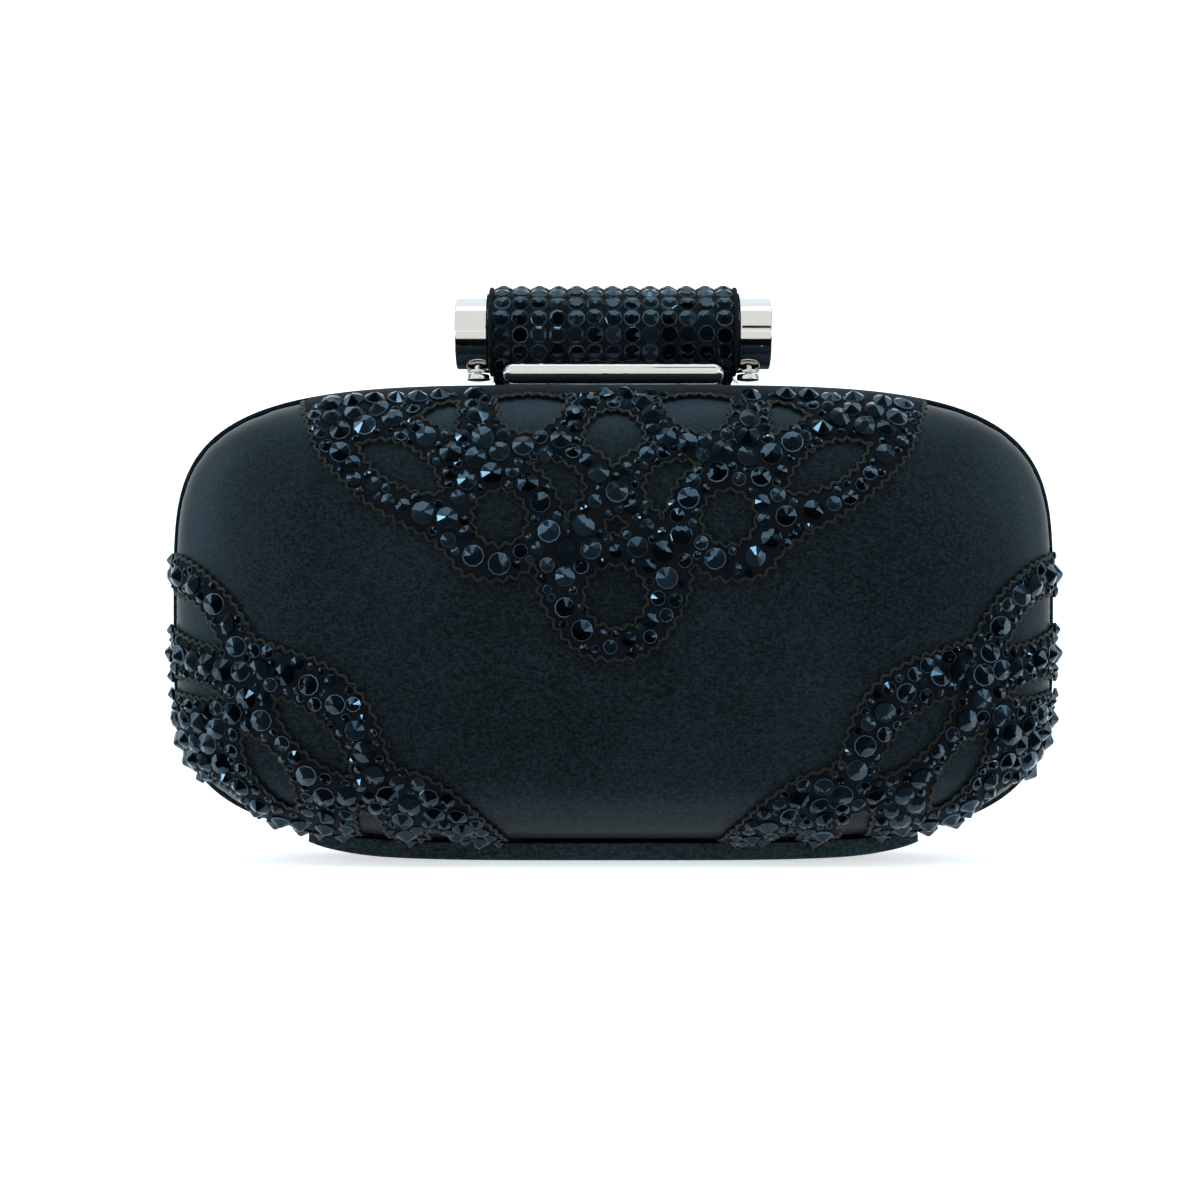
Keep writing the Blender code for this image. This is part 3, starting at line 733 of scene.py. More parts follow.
@dataclass(frozen=True)
class ShellForm:
    """Outline and domed surface shared by every skin of the purse."""

    half_width: float
    low: float
    high: float
    base: float
    depth: float
    squareness: float = 4.2
    crown: float = 4.0
    fullness: float = 2.3
    skin_inset: float = 1.2

    @classmethod
    def from_frame(cls) -> ShellForm:
        """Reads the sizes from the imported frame.

        Returns:
            The form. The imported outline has 36 sides, sampled off its axes, so its box
            is a little smaller than the curve.
        """
        rim_low, rim_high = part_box("front_rim_wrap")
        cover_low, cover_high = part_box("front_cover")
        fit = math.cos(math.pi / 36) ** (2 / 4.2)
        middle = (rim_low.z + rim_high.z) / 2 / MM
        half = (rim_high.z - rim_low.z) / 2 / MM / fit
        return cls(
            half_width=rim_high.x / MM / fit,
            low=middle - half,
            high=middle + half,
            base=-cover_high.y / MM,
            depth=(cover_high.y - cover_low.y) / MM,
        )

    @property
    def middle(self) -> float:
        """Height of the outline's centre."""
        return (self.low + self.high) / 2

    def spans(self, inset: float) -> Pair:
        """Half-width and half-height of the outline drawn in by an inset."""
        return self.half_width - inset, (self.high - self.low) / 2 - inset

    def rim(self, turns: Points, inset: float) -> Points:
        """Points of the outline.

        Args:
            turns: Places round the outline, from 0 to 1.
            inset: How far it is drawn in.

        Returns:
            Array of x and z.
        """
        a, b = self.spans(inset)
        c, s = np.cos(2 * math.pi * turns), np.sin(2 * math.pi * turns)
        power = 2 / self.squareness
        x = a * np.sign(c) * np.abs(c) ** power
        z = self.middle + b * np.sign(s) * np.abs(s) ** power
        return np.stack([x, z], axis=1)

    def ratio(self, flat: Points, inset: float) -> np.ndarray:
        """How far each (x, z) is from the centre, 1 being the outline."""
        a, b = self.spans(inset)
        n = self.squareness
        return (np.abs(flat[:, 0] / a) ** n + np.abs((flat[:, 1] - self.middle) / b) ** n) ** (1 / n)

    def fall(self, ratio: np.ndarray) -> np.ndarray:
        """Share of the dome's depth at a ratio."""
        return np.clip(1 - np.clip(ratio, 0, 1) ** self.crown, 0, 1) ** (1 / self.fullness)

    def raise_to(self, flat: Points, inset: float, side: Side) -> Points:
        """Lifts (x, z) points onto a dome.

        Args:
            flat: Array of x and z.
            inset: Inset of the skin; a smaller one lies further out.
            side: Half of the purse.

        Returns:
            Array of x, y and z.
        """
        depth = self.depth + self.skin_inset - inset
        y = self.base + depth * self.fall(self.ratio(flat, inset))
        return np.stack([flat[:, 0], side.value * y, flat[:, 1]], axis=1)

    def normals(self, points: Points, inset: float, side: Side) -> Points:
        """Outward unit normals of a dome.

        Args:
            points: Points on it.
            inset: Inset of the skin.
            side: Half of the purse.

        Returns:
            One normal for each point.
        """
        a, b = self.spans(inset)
        n, crown = self.squareness, self.crown
        depth = self.depth + self.skin_inset - inset
        x, z = points[:, 0], points[:, 2] - self.middle
        ratio = np.maximum(self.ratio(points[:, [0, 2]], inset), 1e-3)
        share = np.clip((np.abs(points[:, 1]) - self.base) / depth, 1e-6, 1)
        grad = np.stack(
            [
                crown * ratio ** (crown - n) * np.abs(x / a) ** (n - 1) / a * np.sign(x),
                side.value * self.fullness / depth * share ** (self.fullness - 1),
                crown * ratio ** (crown - n) * np.abs(z / b) ** (n - 1) / b * np.sign(z),
            ],
            axis=1,
        )
        return grad / np.linalg.norm(grad, axis=1, keepdims=True)

    def dome_grid(self, inset: float, side: Side, columns: int = 220, rows: int = 44) -> tuple[Points, Faces]:
        """A whole domed skin.

        Args:
            inset: Inset of the skin.
            side: Half of the purse.
            columns: Points round the outline.
            rows: Rings from the foot to the crown.

        Returns:
            Points and faces, the first ring at the foot.
        """
        fine = np.linspace(0, 1, 2000)
        run = 60 * fine + self.depth * (1 - self.fall(fine))
        ratios = np.interp(np.linspace(run[-1], run[0], rows), run, fine)
        rim = self.rim((np.arange(columns) + 0.5) / columns, inset)
        centre = np.array([0.0, self.middle])
        rings = []
        for ratio in ratios[:-1]:
            flat = centre + (rim - centre) * ratio
            ring = self.raise_to(flat, inset, side)
            if ratio > 0.999999:
                ring[:, 1] = side.value * self.base
            rings.append(ring)
        tip = self.raise_to(centre[None], inset, side)
        points = np.concatenate(rings + [tip])
        faces = grid_faces(rows - 1, columns, close_columns=True)
        last = (rows - 2) * columns
        faces += [(last + j, last + (j + 1) % columns, len(points) - 1) for j in range(columns)]
        if side is Side.FRONT:
            faces = [face[::-1] for face in faces]
        return points, faces


@dataclass(frozen=True)
class UnrolledDome:
    """The front dome laid flat: distances along it from the crown, so that its steep edge isn't crushed."""

    form: ShellForm
    inset: float

    def _reach(self, angle: np.ndarray) -> np.ndarray:
        """Distance from the centre to the outline in a direction."""
        a, b = self.form.spans(self.inset)
        n = self.form.squareness
        return (np.abs(np.cos(angle) / a) ** n + np.abs(np.sin(angle) / b) ** n) ** (-1 / n)

    def unroll(self, flat: Points, most: float = 0.9985) -> Points:
        """Lays (x, z) points out flat.

        Args:
            flat: Array of x and z as seen from the front.
            most: Ratio at which points beyond the outline are held.

        Returns:
            Array of u and v.
        """
        x, z = flat[:, 0], flat[:, 1] - self.form.middle
        angle = np.arctan2(z, x)
        reach = self._reach(angle)
        ratio = np.minimum(np.hypot(x, z) / reach, most)
        length = reach * ratio + self.form.depth * (1 - self.form.fall(ratio))
        return np.stack([length * np.cos(angle), length * np.sin(angle)], axis=1)

    def roll(self, laid: Points) -> Points:
        """Takes laid-out points back to (x, z).

        Args:
            laid: Array of u and v.

        Returns:
            Array of x and z.
        """
        angle = np.arctan2(laid[:, 1], laid[:, 0])
        reach, length = self._reach(angle), np.hypot(laid[:, 0], laid[:, 1])
        low, high = np.zeros(len(laid)), np.ones(len(laid))
        for _ in range(30):
            mid = (low + high) / 2
            over = reach * mid + self.form.depth * (1 - self.form.fall(mid)) > length
            high, low = np.where(over, mid, high), np.where(over, low, mid)
        ratio = (low + high) / 2
        x, z = reach * ratio * np.cos(angle), reach * ratio * np.sin(angle)
        return np.stack([x, z + self.form.middle], axis=1)

    def place(self, laid: Points, lift: np.ndarray) -> tuple[Points, Points]:
        """Puts laid-out points back on the dome, lifted along its normals.

        Args:
            laid: Array of u and v.
            lift: Height of each above the satin.

        Returns:
            Points and unit normals.
        """
        base = self.form.raise_to(self.roll(laid), self.inset, Side.FRONT)
        normals = self.form.normals(base, self.inset, Side.FRONT)
        return base + normals * np.asarray(lift)[:, None], normals


# ------------------------------------------------------------------ domed halves


@dataclass
class PaddedHalf:
    """One half of the purse: satin over foam, the wrapped rim and the lining."""

    form: ShellForm
    side: Side
    finishes: Finishes
    lining_inset: float = 5.7
    tuck_y: float = 3.3
    rim_front: float = 0.15
    rim_depth: float = 3.6
    rim_columns: int = 260

    @property
    def word(self) -> str:
        """The half's word in its piece names."""
        return self.side.name.lower()

    @property
    def body(self) -> Body:
        """Body that the half rides on."""
        return Body.FRONT if self.side is Side.FRONT else Body.BACK

    def _ring(self, turns: Points, inset: float, y: float) -> Points:
        """The outline drawn in by an inset, at a distance from the join."""
        flat = self.form.rim(turns, inset)
        return np.stack([flat[:, 0], np.full(len(turns), self.side.value * y), flat[:, 1]], axis=1)

    def _skin(self, inset: float, foot: Sequence[Pair]) -> tuple[Points, Faces]:
        """A domed skin with extra rings at its foot, as pairs of inset and y."""
        columns = 220
        points, faces = self.form.dome_grid(inset, self.side, columns)
        turns = (np.arange(columns) + 0.5) / columns
        previous = 0
        for foot_inset, y in foot:
            start = len(points)
            points = np.vstack([points, self._ring(turns, foot_inset, y)])
            for j in range(columns):
                m = (j + 1) % columns
                face = (start + j, start + m, previous + m, previous + j)
                faces.append(face[::-1] if self.side is Side.FRONT else face)
            previous = start
        return points, faces

    def _puckers(self, points: Points) -> Points:
        """Pulls faint gathers into the satin where it turns in at the rounded corners."""
        normals = self.form.normals(points, self.form.skin_inset, self.side)
        ratio = self.form.ratio(points[:, [0, 2]], self.form.skin_inset)
        angle = np.arctan2(points[:, 2] - self.form.middle, points[:, 0] * 0.52)
        corner = np.abs(np.sin(2 * angle)) ** 2
        near_rim = np.clip((ratio - 0.955) / 0.04, 0, 1) ** 2
        gathers = np.sin(angle * 97) * 0.5 + np.sin(angle * 61 + 1.3) * 0.35 + np.sin(angle * 151 + 0.4) * 0.15
        return points + normals * (0.10 * gathers * corner * near_rim)[:, None]

    def cover(self) -> bpy.types.Object:
        """Stretches the satin over the foam.

        Returns:
            The cover.
        """
        points, faces = self._skin(self.form.skin_inset, [(self.form.skin_inset, self.tuck_y), (1.9, 3.1)])
        piece = make_piece(f"{self.word}_satin_cover", self._puckers(points), faces, self.finishes.satin)
        mount_piece(piece, self.body, [f"{self.word}_cover", f"{self.word}_padding"])
        return piece

    def lining(self) -> bpy.types.Object:
        """Glues the lining into the shell.

        Returns:
            The lining.
        """
        points, faces = self._skin(self.lining_inset, [(5.5, 3.5), (3.9, 3.1)])
        piece = make_piece(
            f"{self.word}_twill_lining", points, [face[::-1] for face in faces], self.finishes.lining
        )
        mount_piece(piece, self.body, [f"{self.word}_lining"])
        return piece

    def rim(self) -> bpy.types.Object:
        """Wraps the frame in a bead of satin.

        Returns:
            The rim.
        """
        front, back = self.rim_front, self.rim_depth
        section = rounded(
            [(3.6, front), (0.0, front), (0.0, back), (0.9, back), (0.9, 2.9), (2.7, 2.9), (2.7, back), (3.6, back)],
            0.7,
            closed=True,
        )
        turns = (np.arange(self.rim_columns) + 0.5) / self.rim_columns
        rings = [self._ring(turns, inset, y) for inset, y in section]
        faces = grid_faces(len(section), self.rim_columns, close_rows=True, close_columns=True)
        if self.side is Side.FRONT:
            faces = [face[::-1] for face in faces]
        piece = make_piece(f"{self.word}_rim_bead", np.concatenate(rings), faces, self.finishes.satin)
        return mount_piece(piece, self.body, [f"{self.word}_rim_wrap", f"{self.word}_frame"])

    def build(self) -> list[bpy.types.Object]:
        """Builds the half.

        Returns:
            Its pieces.
        """
        return [self.cover(), self.lining(), self.rim()]


# ------------------------------------------------------------------ cut stones


@dataclass(frozen=True)
class StoneCut:
    """A cone-cut stone: a thin girdle and long facets that rise to a small table."""

    facets: int = 10
    girdle: float = 0.1
    height: float = 0.68
    table: float = 0.15
    # Largest paler share on the girdles: a painted highlight.
    girdle_highlight_tone: float = 0.9

    def mesh(
        self, places: Points, normals: Points, radii: np.ndarray, rng: np.random.Generator, tilt: float = 0.09
    ) -> tuple[Points, Faces, np.ndarray]:
        """Lays out many stones as one mesh; the girdle and its bevel are painted paler than the facets, as a painted
        highlight ring.

        Args:
            places: Foot of each stone.
            normals: Direction that each faces.
            radii: Girdle radius of each.
            rng: Seeded random numbers for its spin, tilt and table.
            tilt: Spread of the tilt, in radians.

        Returns:
            Points, faces and a tone for each face.
        """
        points, faces, tones = [], [], []
        angle = np.arange(self.facets) * 2 * math.pi / self.facets
        for place, normal, radius in zip(places, normals, radii):
            face_up = normal + rng.normal(0, tilt, 3)
            face_up /= np.linalg.norm(face_up)
            across = np.cross(face_up, [0.31, 0.12, 0.94])
            across /= np.linalg.norm(across)
            up = np.cross(face_up, across)
            spin = angle + rng.uniform(0, 2 * math.pi)
            ring = np.cos(spin)[:, None] * across + np.sin(spin)[:, None] * up
            table = self.table if rng.random() < 0.85 else self.table * 2.4
            height = self.height * (1 - 0.35 * (table > self.table))
            at = len(points) * 5 * self.facets
            points.append(
                np.concatenate(
                    [
                        place + ring * radius * 0.94 - face_up * 0.25,
                        place + ring * radius + face_up * radius * 0.1,
                        place + ring * radius + face_up * radius * (0.1 + self.girdle),
                        place + ring * radius * 0.93 + face_up * radius * (0.15 + self.girdle),
                        place + ring * radius * table + face_up * radius * (self.girdle + height),
                    ]
                )
            )
            body = 0.1 * rng.random() ** 2
            # Painted highlight: the girdle and its bevel take a paler share of the smoky colour, standing in for the
            # light ring round each stone.
            edge = self.girdle_highlight_tone * rng.random() ** 2
            tones += [body] * self.facets + [edge] * (2 * self.facets) + [body] * (self.facets + 1)
            faces += [
                tuple(at + i for i in face) for face in grid_faces(5, self.facets, close_columns=True)
            ]
            faces.append(tuple(range(at + 4 * self.facets, at + 5 * self.facets)))
        return np.concatenate(points), faces, np.array(tones)

    def piece(
        self,
        name: str,
        places: Points,
        normals: Points,
        radii: np.ndarray,
        rng: np.random.Generator,
        material: bpy.types.Material,
        tilt: float = 0.09,
    ) -> bpy.types.Object:
        """Builds the stones as a piece with flat facets.

        Args:
            name: Name of the piece.
            places: Foot of each stone.
            normals: Direction that each faces.
            radii: Girdle radius of each.
            rng: Seeded random numbers.
            material: The glass.
            tilt: Spread of the tilt, in radians.

        Returns:
            The piece.
        """
        points, faces, tones = self.mesh(places, normals, radii, rng, tilt)
        piece = make_piece(name, points, faces, material, smooth=False)
        tone = piece.data.attributes.new(JetGlass.tone_attribute, "FLOAT", "FACE")
        tone.data.foreach_set("value", tones.astype(np.float32))
        return piece


# ------------------------------------------------------------------ beaded appliques


def mirror(strokes: Sequence[Sequence[Pair]]) -> list[list[Pair]]:
    """Mirrors strokes left to right, keeping them in order."""
    return [[(-x, z) for x, z in stroke][::-1] for stroke in strokes[::-1]]


def ring_stroke(x: float, z: float, radius: float) -> list[list[Pair]]:
    """A round opening, as a single closed stroke."""
    return [
        [(x + radius * math.cos(k * math.pi / 4), z + radius * math.sin(k * math.pi / 4)) for k in range(8)]
    ]


def leaf_strokes(tip: Pair, end: Pair, left: float, right: float) -> list[list[Pair]]:
    """A leaf-shaped opening with a pointed tip at each end.

    Args:
        tip: First tip.
        end: Second tip.
        left: Bulge to the left of the way from tip to end.
        right: Bulge to the right.

    Returns:
        Two strokes.
    """
    a, b = Vector(tip), Vector(end)
    side = Vector((a.y - b.y, b.x - a.x)).normalized()

    def along(share: float, bulge: float) -> Pair:
        """Point beside the axis of the leaf."""
        p = a.lerp(b, share) + side * bulge
        return p.x, p.y

    return [
        [tip, along(0.22, left * 0.75), along(0.5, left), along(0.8, left * 0.7), end],
        [end, along(0.8, -right * 0.7), along(0.5, -right), along(0.22, -right * 0.75), tip],
    ]


@dataclass
class BeadedApplique:
    """Openwork applique: felt with pinked, thread-bound edges, set with stones of three sizes."""

    name: str
    outline: list[list[Pair]]
    openings: list[list[list[Pair]]]
    form: ShellForm
    finishes: Finishes
    seed: int
    pink_pitch: float = 2.5
    pink_depth: float = 0.42
    felt_lift: float = 1.0
    edge_lift: float = 0.55
    edging_radius: float = 0.32
    rim_limit: float = 0.992
    big: float = 2.15
    medium: float = 1.45
    small: float = 0.85
    rim_gap: float = 3.9

    def __post_init__(self) -> None:
        """Lays the outline out flat."""
        self.dome = UnrolledDome(self.form, self.form.skin_inset)
        self.rng = np.random.default_rng(self.seed)
        self.outer = smooth_path(self.outline, 0.5)
        self.holes = [smooth_path(strokes, 0.4) for strokes in self.openings]
        self.loops = [self._pinked(self.dome.unroll(loop)) for loop in [self.outer, *self.holes]]

    def _pinked(self, loop: Points) -> Points:
        """Cuts a laid-out loop with small pinked teeth."""
        ring = np.vstack([loop, loop[:1]])
        even = even_points(ring, max(3, round(length_of(ring) / self.pink_pitch)) * 8)
        tangent = np.roll(even, -1, axis=0) - np.roll(even, 1, axis=0)
        tangent /= np.linalg.norm(tangent, axis=1, keepdims=True) + 1e-9
        normal = np.stack([-tangent[:, 1], tangent[:, 0]], axis=1)
        phase = np.arange(len(even)) / 8
        wobble = 1 + 0.25 * np.sin(phase * 1.7 + self.seed)
        tooth = (2 * np.abs(2 * (phase % 1) - 1) - 1) * self.pink_depth * wobble
        return even + normal * tooth[:, None]

    def covered(self, laid: Points) -> np.ndarray:
        """Tells which laid-out points the felt covers."""
        result = inside(laid, self.loops[0])
        for hole in self.loops[1:]:
            result &= ~inside(laid, hole)
        return result

    def _kept_runs(self) -> list[tuple[Points, bool]]:
        """Stretches of the edges that lie on the dome, each with whether it is a whole loop."""
        runs = []
        for number, loop in enumerate(self.loops):
            flat = self.dome.roll(loop)
            keep = self.form.ratio(flat, self.form.skin_inset) < self.rim_limit
            for other, hole in enumerate(self.loops):
                if other == number:
                    continue
                within = inside(loop, hole)
                keep &= within if other == 0 else ~within
            if keep.all():
                runs.append((loop, True))
                continue
            if not keep.any():
                continue
            start = int(np.argmax(~keep))
            order = np.roll(np.arange(len(loop)), -start)
            piece: list[np.ndarray] = []
            for i in order:
                if keep[i]:
                    piece.append(loop[i])
                elif piece:
                    runs.append((np.array(piece), False))
                    piece = []
            if piece:
                runs.append((np.array(piece), False))
        return [run for run in runs if len(run[0]) > 6]

    def felt(self) -> bpy.types.Object:
        """Cuts the felt and lays it on the dome.

        Returns:
            The felt.
        """
        low, high = self.loops[0].min(0), self.loops[0].max(0)
        step = 1.7
        us = np.arange(low[0], high[0], step)
        vs = np.arange(low[1], high[1], step * 0.87)
        lattice = np.array([(u + (j % 2) * step / 2, v) for j, v in enumerate(vs) for u in us])
        edge = nearest(np.concatenate(self.loops))
        lattice = lattice[self.covered(lattice)]
        lattice = np.array([p for p in lattice if edge.find((p[0], p[1], 0))[2] > 0.5])
        flat, edges, at = [], [], 0
        for loop in self.loops:
            count = len(loop)
            flat += [Vector(p) for p in loop]
            edges += [(at + i, at + (i + 1) % count) for i in range(count)]
            at += count
        flat += [Vector(p) for p in lattice]
        verts, _, triangles, *_ = delaunay_2d_cdt(flat, edges, [], 0, 1e-4)
        laid = np.array([(v.x, v.y) for v in verts])
        tris = np.array([tuple(t) for t in triangles])
        tris = tris[self.covered(laid[tris].mean(axis=1))]
        distance = np.array([edge.find((p[0], p[1], 0))[2] for p in laid])
        lift = self.edge_lift + (self.felt_lift - self.edge_lift) * (1 - np.exp(-distance / 0.7))
        top, _ = self.dome.place(laid, lift)
        foot, _ = self.dome.place(laid, np.full(len(laid), -0.15))
        count = len(laid)
        sides: dict[tuple[int, int], int] = {}
        for a, b, c in tris:
            for pair in ((a, b), (b, c), (c, a)):
                sides[pair] = sides.get(pair, 0) + 1
        faces: Faces = [tuple(int(i) for i in t) for t in tris]
        for a, b in sides:
            if (b, a) not in sides:
                faces.append((int(b), int(a), int(a) + count, int(b) + count))
        piece = make_piece(f"{self.name}_felt", np.vstack([top, foot]), faces, self.finishes.felt)
        return mount_piece(piece, Body.FRONT, [self.name])

    def edging(self) -> bpy.types.Object:
        """Binds the pinked edges with thread.

        Returns:
            The edging.
        """
        parts = []
        for run, whole in self._kept_runs():
            lift = np.full(len(run), self.edge_lift + 0.12)
            if not whole:
                fade = np.minimum(np.arange(len(run)), np.arange(len(run))[::-1])
                lift = lift - 0.5 * np.exp(-fade / 3.0)
            path, _ = self.dome.place(run, lift)
            parts.append(tube_along(path, self.edging_radius, 6, closed=whole))
        piece = make_piece(f"{self.name}_edging", *joined(parts), self.finishes.umber)
        return mount_piece(piece, Body.FRONT)

    def _sow(self) -> tuple[Points, np.ndarray]:
        """Chooses where the stones sit: large ones down the middle of each band, smaller ones between."""
        low, high = self.loops[0].min(0), self.loops[0].max(0)
        count = int((high[0] - low[0]) * (high[1] - low[1]) * 6)
        tries = low + self.rng.random((count, 2)) * (high - low)
        tries = tries[self.covered(tries)]
        edge = nearest(np.concatenate([run for run, _ in self._kept_runs()]))
        room = np.array([edge.find((u, v, 0))[2] for u, v in tries])
        clear = inside(self.dome.roll(tries), self.form.rim(np.arange(720) / 720, self.rim_gap))
        places: list[np.ndarray] = []
        radii: list[float] = []

        def free(place: np.ndarray, radius: float, gap: float) -> bool:
            """Whether a stone fits here."""
            if not places:
                return True
            apart = np.linalg.norm(np.array(places) - place, axis=1)
            return bool((apart > np.array(radii) + radius + gap).all())

        bands = (
            (self.big, 0.4, 2.1, 0.93),
            (self.medium, 0.2, 1.55, 0.8),
            (self.small, 0.1, 1.0, 0.72),
        )
        for radius, gap, margin, keep in bands:
            choice = np.flatnonzero((room > margin) & clear)
            score = room[choice] + self.rng.random(len(choice)) * 0.7
            order = choice[np.argsort(-score)] if radius == self.big else self.rng.permutation(choice)
            for i in order[: 9000 if radius == self.small else 6000]:
                if free(tries[i], radius, gap) and self.rng.random() < keep:
                    places.append(tries[i])
                    radii.append(radius * self.rng.uniform(0.92, 1.05))
        return np.array(places), np.array(radii)

    def stones(self) -> bpy.types.Object:
        """Sets the stones.

        Returns:
            The stones.
        """
        laid, radii = self._sow()
        places, normals = self.dome.place(laid, np.full(len(laid), self.felt_lift - 0.1))
        piece = StoneCut().piece(f"{self.name}_stones", places, normals, radii, self.rng, self.finishes.jet)
        LOG.info("%s: %d stones", self.name, len(radii))
        return mount_piece(piece, Body.FRONT)

    def build(self) -> list[bpy.types.Object]:
        """Builds the applique.

        Returns:
            Its pieces.
        """
        felt, edging, stones = self.felt(), self.edging(), self.stones()
        return [felt, edging, stones]


def top_applique_outline() -> list[list[Pair]]:
    """Outline of the top applique: from the rim down its left side to the lowest tip, and mirrored."""
    left = [
        [
            *((-64.5, 98.0), (-61.0, 89.0), (-58.0, 82.0), (-54.5, 77.5)),
            *((-48.0, 71.5), (-42.5, 68.0), (-36.0, 64.5), (-32.0, 61.0)),
        ],
        [(-32.0, 61.0), (-29.0, 57.5), (-23.5, 56.2), (-18.5, 57.0), (-15.0, 59.5)],
        [(-15.0, 59.5), (-14.5, 54.0), (-12.5, 49.5), (-9.5, 45.0), (-5.5, 41.7), (0.0, 40.8)],
    ]
    return left + mirror(left) + [[(64.5, 98.0), (0.0, 98.5), (-64.5, 98.0)]]


def top_applique_openings() -> list[list[list[Pair]]]:
    """Openings of the top applique, with the satin showing through."""
    side = [
        ring_stroke(-22.0, 68.2, 5.4),
        [
            [(-23.5, 91.8), (-16.0, 92.6), (-8.8, 91.6)],
            [(-8.8, 91.6), (-11.5, 87.0), (-16.8, 84.6), (-21.5, 86.2), (-23.5, 91.8)],
        ],
        leaf_strokes((-50.0, 82.5), (-33.0, 73.0), 4.6, 3.2),
        [
            [(-38.5, 88.0), (-34.5, 90.4), (-30.5, 91.0)],
            [(-30.5, 91.0), (-30.6, 84.0)],
            [(-30.6, 84.0), (-38.5, 88.0)],
        ],
        [
            [(-16.8, 78.8), (-12.0, 79.3), (-7.5, 77.6), (-5.6, 74.0), (-7.2, 70.5), (-9.4, 68.2)],
            [(-9.4, 68.2), (-11.0, 72.5), (-13.2, 76.0), (-16.8, 78.8)],
        ],
    ]
    middle = [
        ring_stroke(0.3, 53.0, 6.2),
        [
            [
                *((0.0, 78.0), (2.5, 80.4), (5.6, 82.4), (5.8, 85.4), (3.4, 88.4), (0.0, 89.2)),
                *((-3.4, 88.4), (-5.8, 85.4), (-5.6, 82.4), (-2.5, 80.4), (0.0, 78.0)),
            ]
        ],
        [
            [(-1.6, 67.6), (0.2, 68.4), (2.0, 67.6)],
            [(2.0, 67.6), (2.4, 66.2), (0.2, 64.8)],
            [(0.2, 64.8), (-1.8, 66.0), (-1.6, 67.6)],
        ],
    ]
    return side + [mirror(shape) for shape in side] + middle


def corner_applique_outline() -> list[list[Pair]]:
    """Outline of the left corner applique: three lobes along the satin, then round outside the rim."""
    return [
        [(-96.0, 64.5), (-89.3, 62.0), (-83.0, 59.6), (-76.5, 54.5), (-72.5, 49.5), (-70.0, 45.0)],
        [(-70.0, 45.0), (-64.0, 42.8), (-58.0, 40.8), (-52.0, 37.3), (-47.8, 32.5), (-45.5, 27.5), (-44.0, 22.5)],
        [(-44.0, 22.5), (-42.0, 20.0), (-36.5, 18.2), (-30.5, 14.2), (-25.5, 9.5), (-21.5, 5.0), (-19.0, 0.0)],
        [(-19.0, 0.0), (-50.0, -8.0), (-100.0, -5.0), (-108.0, 30.0), (-96.0, 64.5)],
    ]


def corner_applique_openings() -> list[list[list[Pair]]]:
    """Openings of the left corner applique, the outer ones running off the rim."""
    return [
        [
            [(-97.0, 55.0), (-87.0, 53.8), (-81.0, 50.8), (-76.0, 43.0)],
            [(-76.0, 43.0), (-82.0, 44.0), (-88.0, 46.4), (-97.0, 47.5), (-97.0, 55.0)],
        ],
        [
            [(-97.0, 38.5), (-88.0, 37.4), (-81.0, 36.3), (-75.8, 33.4)],
            [(-75.8, 33.4), (-81.0, 33.0), (-89.0, 34.2), (-97.0, 34.8), (-97.0, 38.5)],
        ],
        leaf_strokes((-66.2, 33.8), (-50.6, 18.0), 3.4, 3.4),
        leaf_strokes((-72.6, 27.0), (-62.0, 11.2), 3.3, 3.2),
        leaf_strokes((-82.4, 17.0), (-71.0, 6.6), 3.0, 2.2),
        [
            [(-51.0, 11.2), (-46.6, 10.6), (-43.6, 2.0), (-43.0, -2.0)],
            [(-43.0, -2.0), (-49.5, -2.0), (-51.0, 11.2)],
        ],
        [[(-37.0, 7.6), (-33.0, 6.4), (-28.5, 1.0)], [(-28.5, 1.0), (-36.0, 0.0), (-37.0, 7.6)]],
    ]


# ------------------------------------------------------------------ clasp


